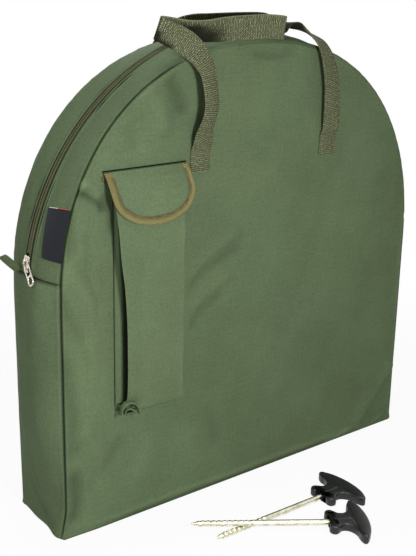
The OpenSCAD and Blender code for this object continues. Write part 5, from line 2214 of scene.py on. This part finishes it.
def joined(first: Piece, others: Sequence[Piece]) -> Piece:
    """Joins other pieces' meshes into the first piece, removes the others and returns it."""
    work = bmesh.new()
    for piece in (first, *others):
        work.from_mesh(piece.data)
    work.to_mesh(first.data)
    work.free()
    for piece in others:
        bpy.data.objects.remove(piece)
    mend(first.data, 40)
    return first


# ---------- stage ----------


@dataclass(frozen=True)
class Stage:
    """Pale floor, soft lamps, plain world and the camera."""

    eye: Triple = (-0.8758, -1.0388, 0.7019)
    look: Triple = (0.6004, 0.7415, -0.2994)
    roll: float = 1.14
    lens: float = 66.3
    ambient: float = 0.15
    floor_glow: float = 0.93
    floor_half: float = 12.0
    floor_gap: float = 0.0004

    def camera(self) -> None:
        """Places the camera."""
        data = bpy.data.cameras.new("camera")
        data.lens = self.lens
        data.sensor_width = 36
        data.clip_start = 0.05
        piece = linked("camera", data)
        forward = Vector(self.look).normalized()
        level = forward.cross(Vector((0, 0, 1))).normalized()
        up = level.cross(forward)
        turn = math.radians(self.roll)
        right = level * math.cos(turn) + up * math.sin(turn)
        top = up * math.cos(turn) - level * math.sin(turn)
        matrix = Matrix((right, top, -forward)).transposed().to_4x4()
        matrix.translation = Vector(self.eye)
        piece.matrix_world = matrix
        bpy.context.scene.camera = piece

    def seen_white(self, b: Board) -> Link:
        """Returns the factor that is 1 for camera, glossy and transmission rays."""
        rays = b.make("LightPath").socket.node.outputs
        camera, glossy, passed = (Link(b, rays[f"Is {kind} Ray"])
                                  for kind in ("Camera", "Glossy", "Transmission"))
        return camera.math("MAXIMUM", glossy).math("MAXIMUM", passed)

    def world(self) -> None:
        """Makes a white backdrop that lights the object more softly than it looks."""
        world = bpy.data.worlds.new("world")
        bpy.context.scene.world = world
        b = Board("world", world)
        dim, white = (b.make("Background", {"Color": (1, 1, 1, 1), "Strength": strength})
                      for strength in (self.ambient, 1.0))
        b.end(b.make("MixShader", {0: self.seen_white(b), 1: dim, 2: white}))

    def floor(self) -> None:
        """Makes the floor, pale and just below the object."""
        mesh = bpy.data.meshes.new("floor")
        s, z = self.floor_half, -self.floor_gap
        mesh.from_pydata([(-s, -s, z), (s, -s, z), (s, s, z), (-s, s, z)], [], [(0, 1, 2, 3)])
        floor = linked("floor", mesh)
        b = Board("floor")
        dull = b.make("BsdfDiffuse", {"Color": (0.8, 0.8, 0.8, 1)})
        glow = b.make("Emission", {"Strength": 1.0})
        reach = b.make("VectorMath", {0: b.place()}, "Value", operation="LENGTH")
        share = self.floor_glow + reach.step(0.45, 1.1) * (1 - self.floor_glow)
        b.end(b.make("MixShader", {0: self.seen_white(b) * share, 1: dull, 2: glow}))
        mesh.materials.append(b.owner)

    def lamp(self, name: str, place: Triple, aim: Triple, size: float, power: float) -> None:
        """Adds a square soft lamp.

        Args:
            name: Name of the lamp.
            place: Where it hangs, in metres.
            aim: Where it points.
            size: Length of its side.
            power: Power in watts.
        """
        data = bpy.data.lights.new(name, "AREA")
        data.energy = power
        data.size = size
        piece = linked(name, data)
        piece.visible_camera = False
        piece.location = place
        piece.rotation_euler = (Vector(aim) - Vector(place)).to_track_quat("-Z", "Y").to_euler()

    def build(self) -> None:
        """Builds the stage."""
        bpy.context.scene.view_settings.view_transform = "Standard"
        self.camera()
        self.world()
        self.floor()
        self.lamp("key", (-0.40, -0.95, 0.60), (-0.2, 0, 0.3), 0.13, 7.4)
        self.lamp("side", (-1.2, -0.3, 1.05), (-0.3, 0, 0.4), 0.35, 4.1)
        self.lamp("top", (-0.3, -0.1, 2.0), (-0.1, 0, 0.3), 1.2, 10)
        self.lamp("rear", (0.7, 2.0, 1.5), (0, 0, 0.3), 1.2, 18)
        LOG.info("stage built")


def main() -> None:
    """Builds the stage and every sub-assembly."""
    logging.basicConfig(level=logging.INFO, format="%(name)s: %(message)s")
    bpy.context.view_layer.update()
    Stage().build()
    Shell().build()
    LOG.info("shell built")
    Zip().build()
    Handle("front_handle", -1, "bag", FRONT_ROUTE).build()
    Handle("rear_handle", 1, "rear_leaf", REAR_ROUTE).build()
    PegPocket().build()
    FoldedNet().build()
    GroundPeg("peg_a", (-168.7, -141.1, 17.2), (-31.35, 2.5)).build()
    GroundPeg("peg_b", (-153.3, -171.4, 5.1), (-2.1, -0.52)).build()


if __name__ == "__main__":
    main()
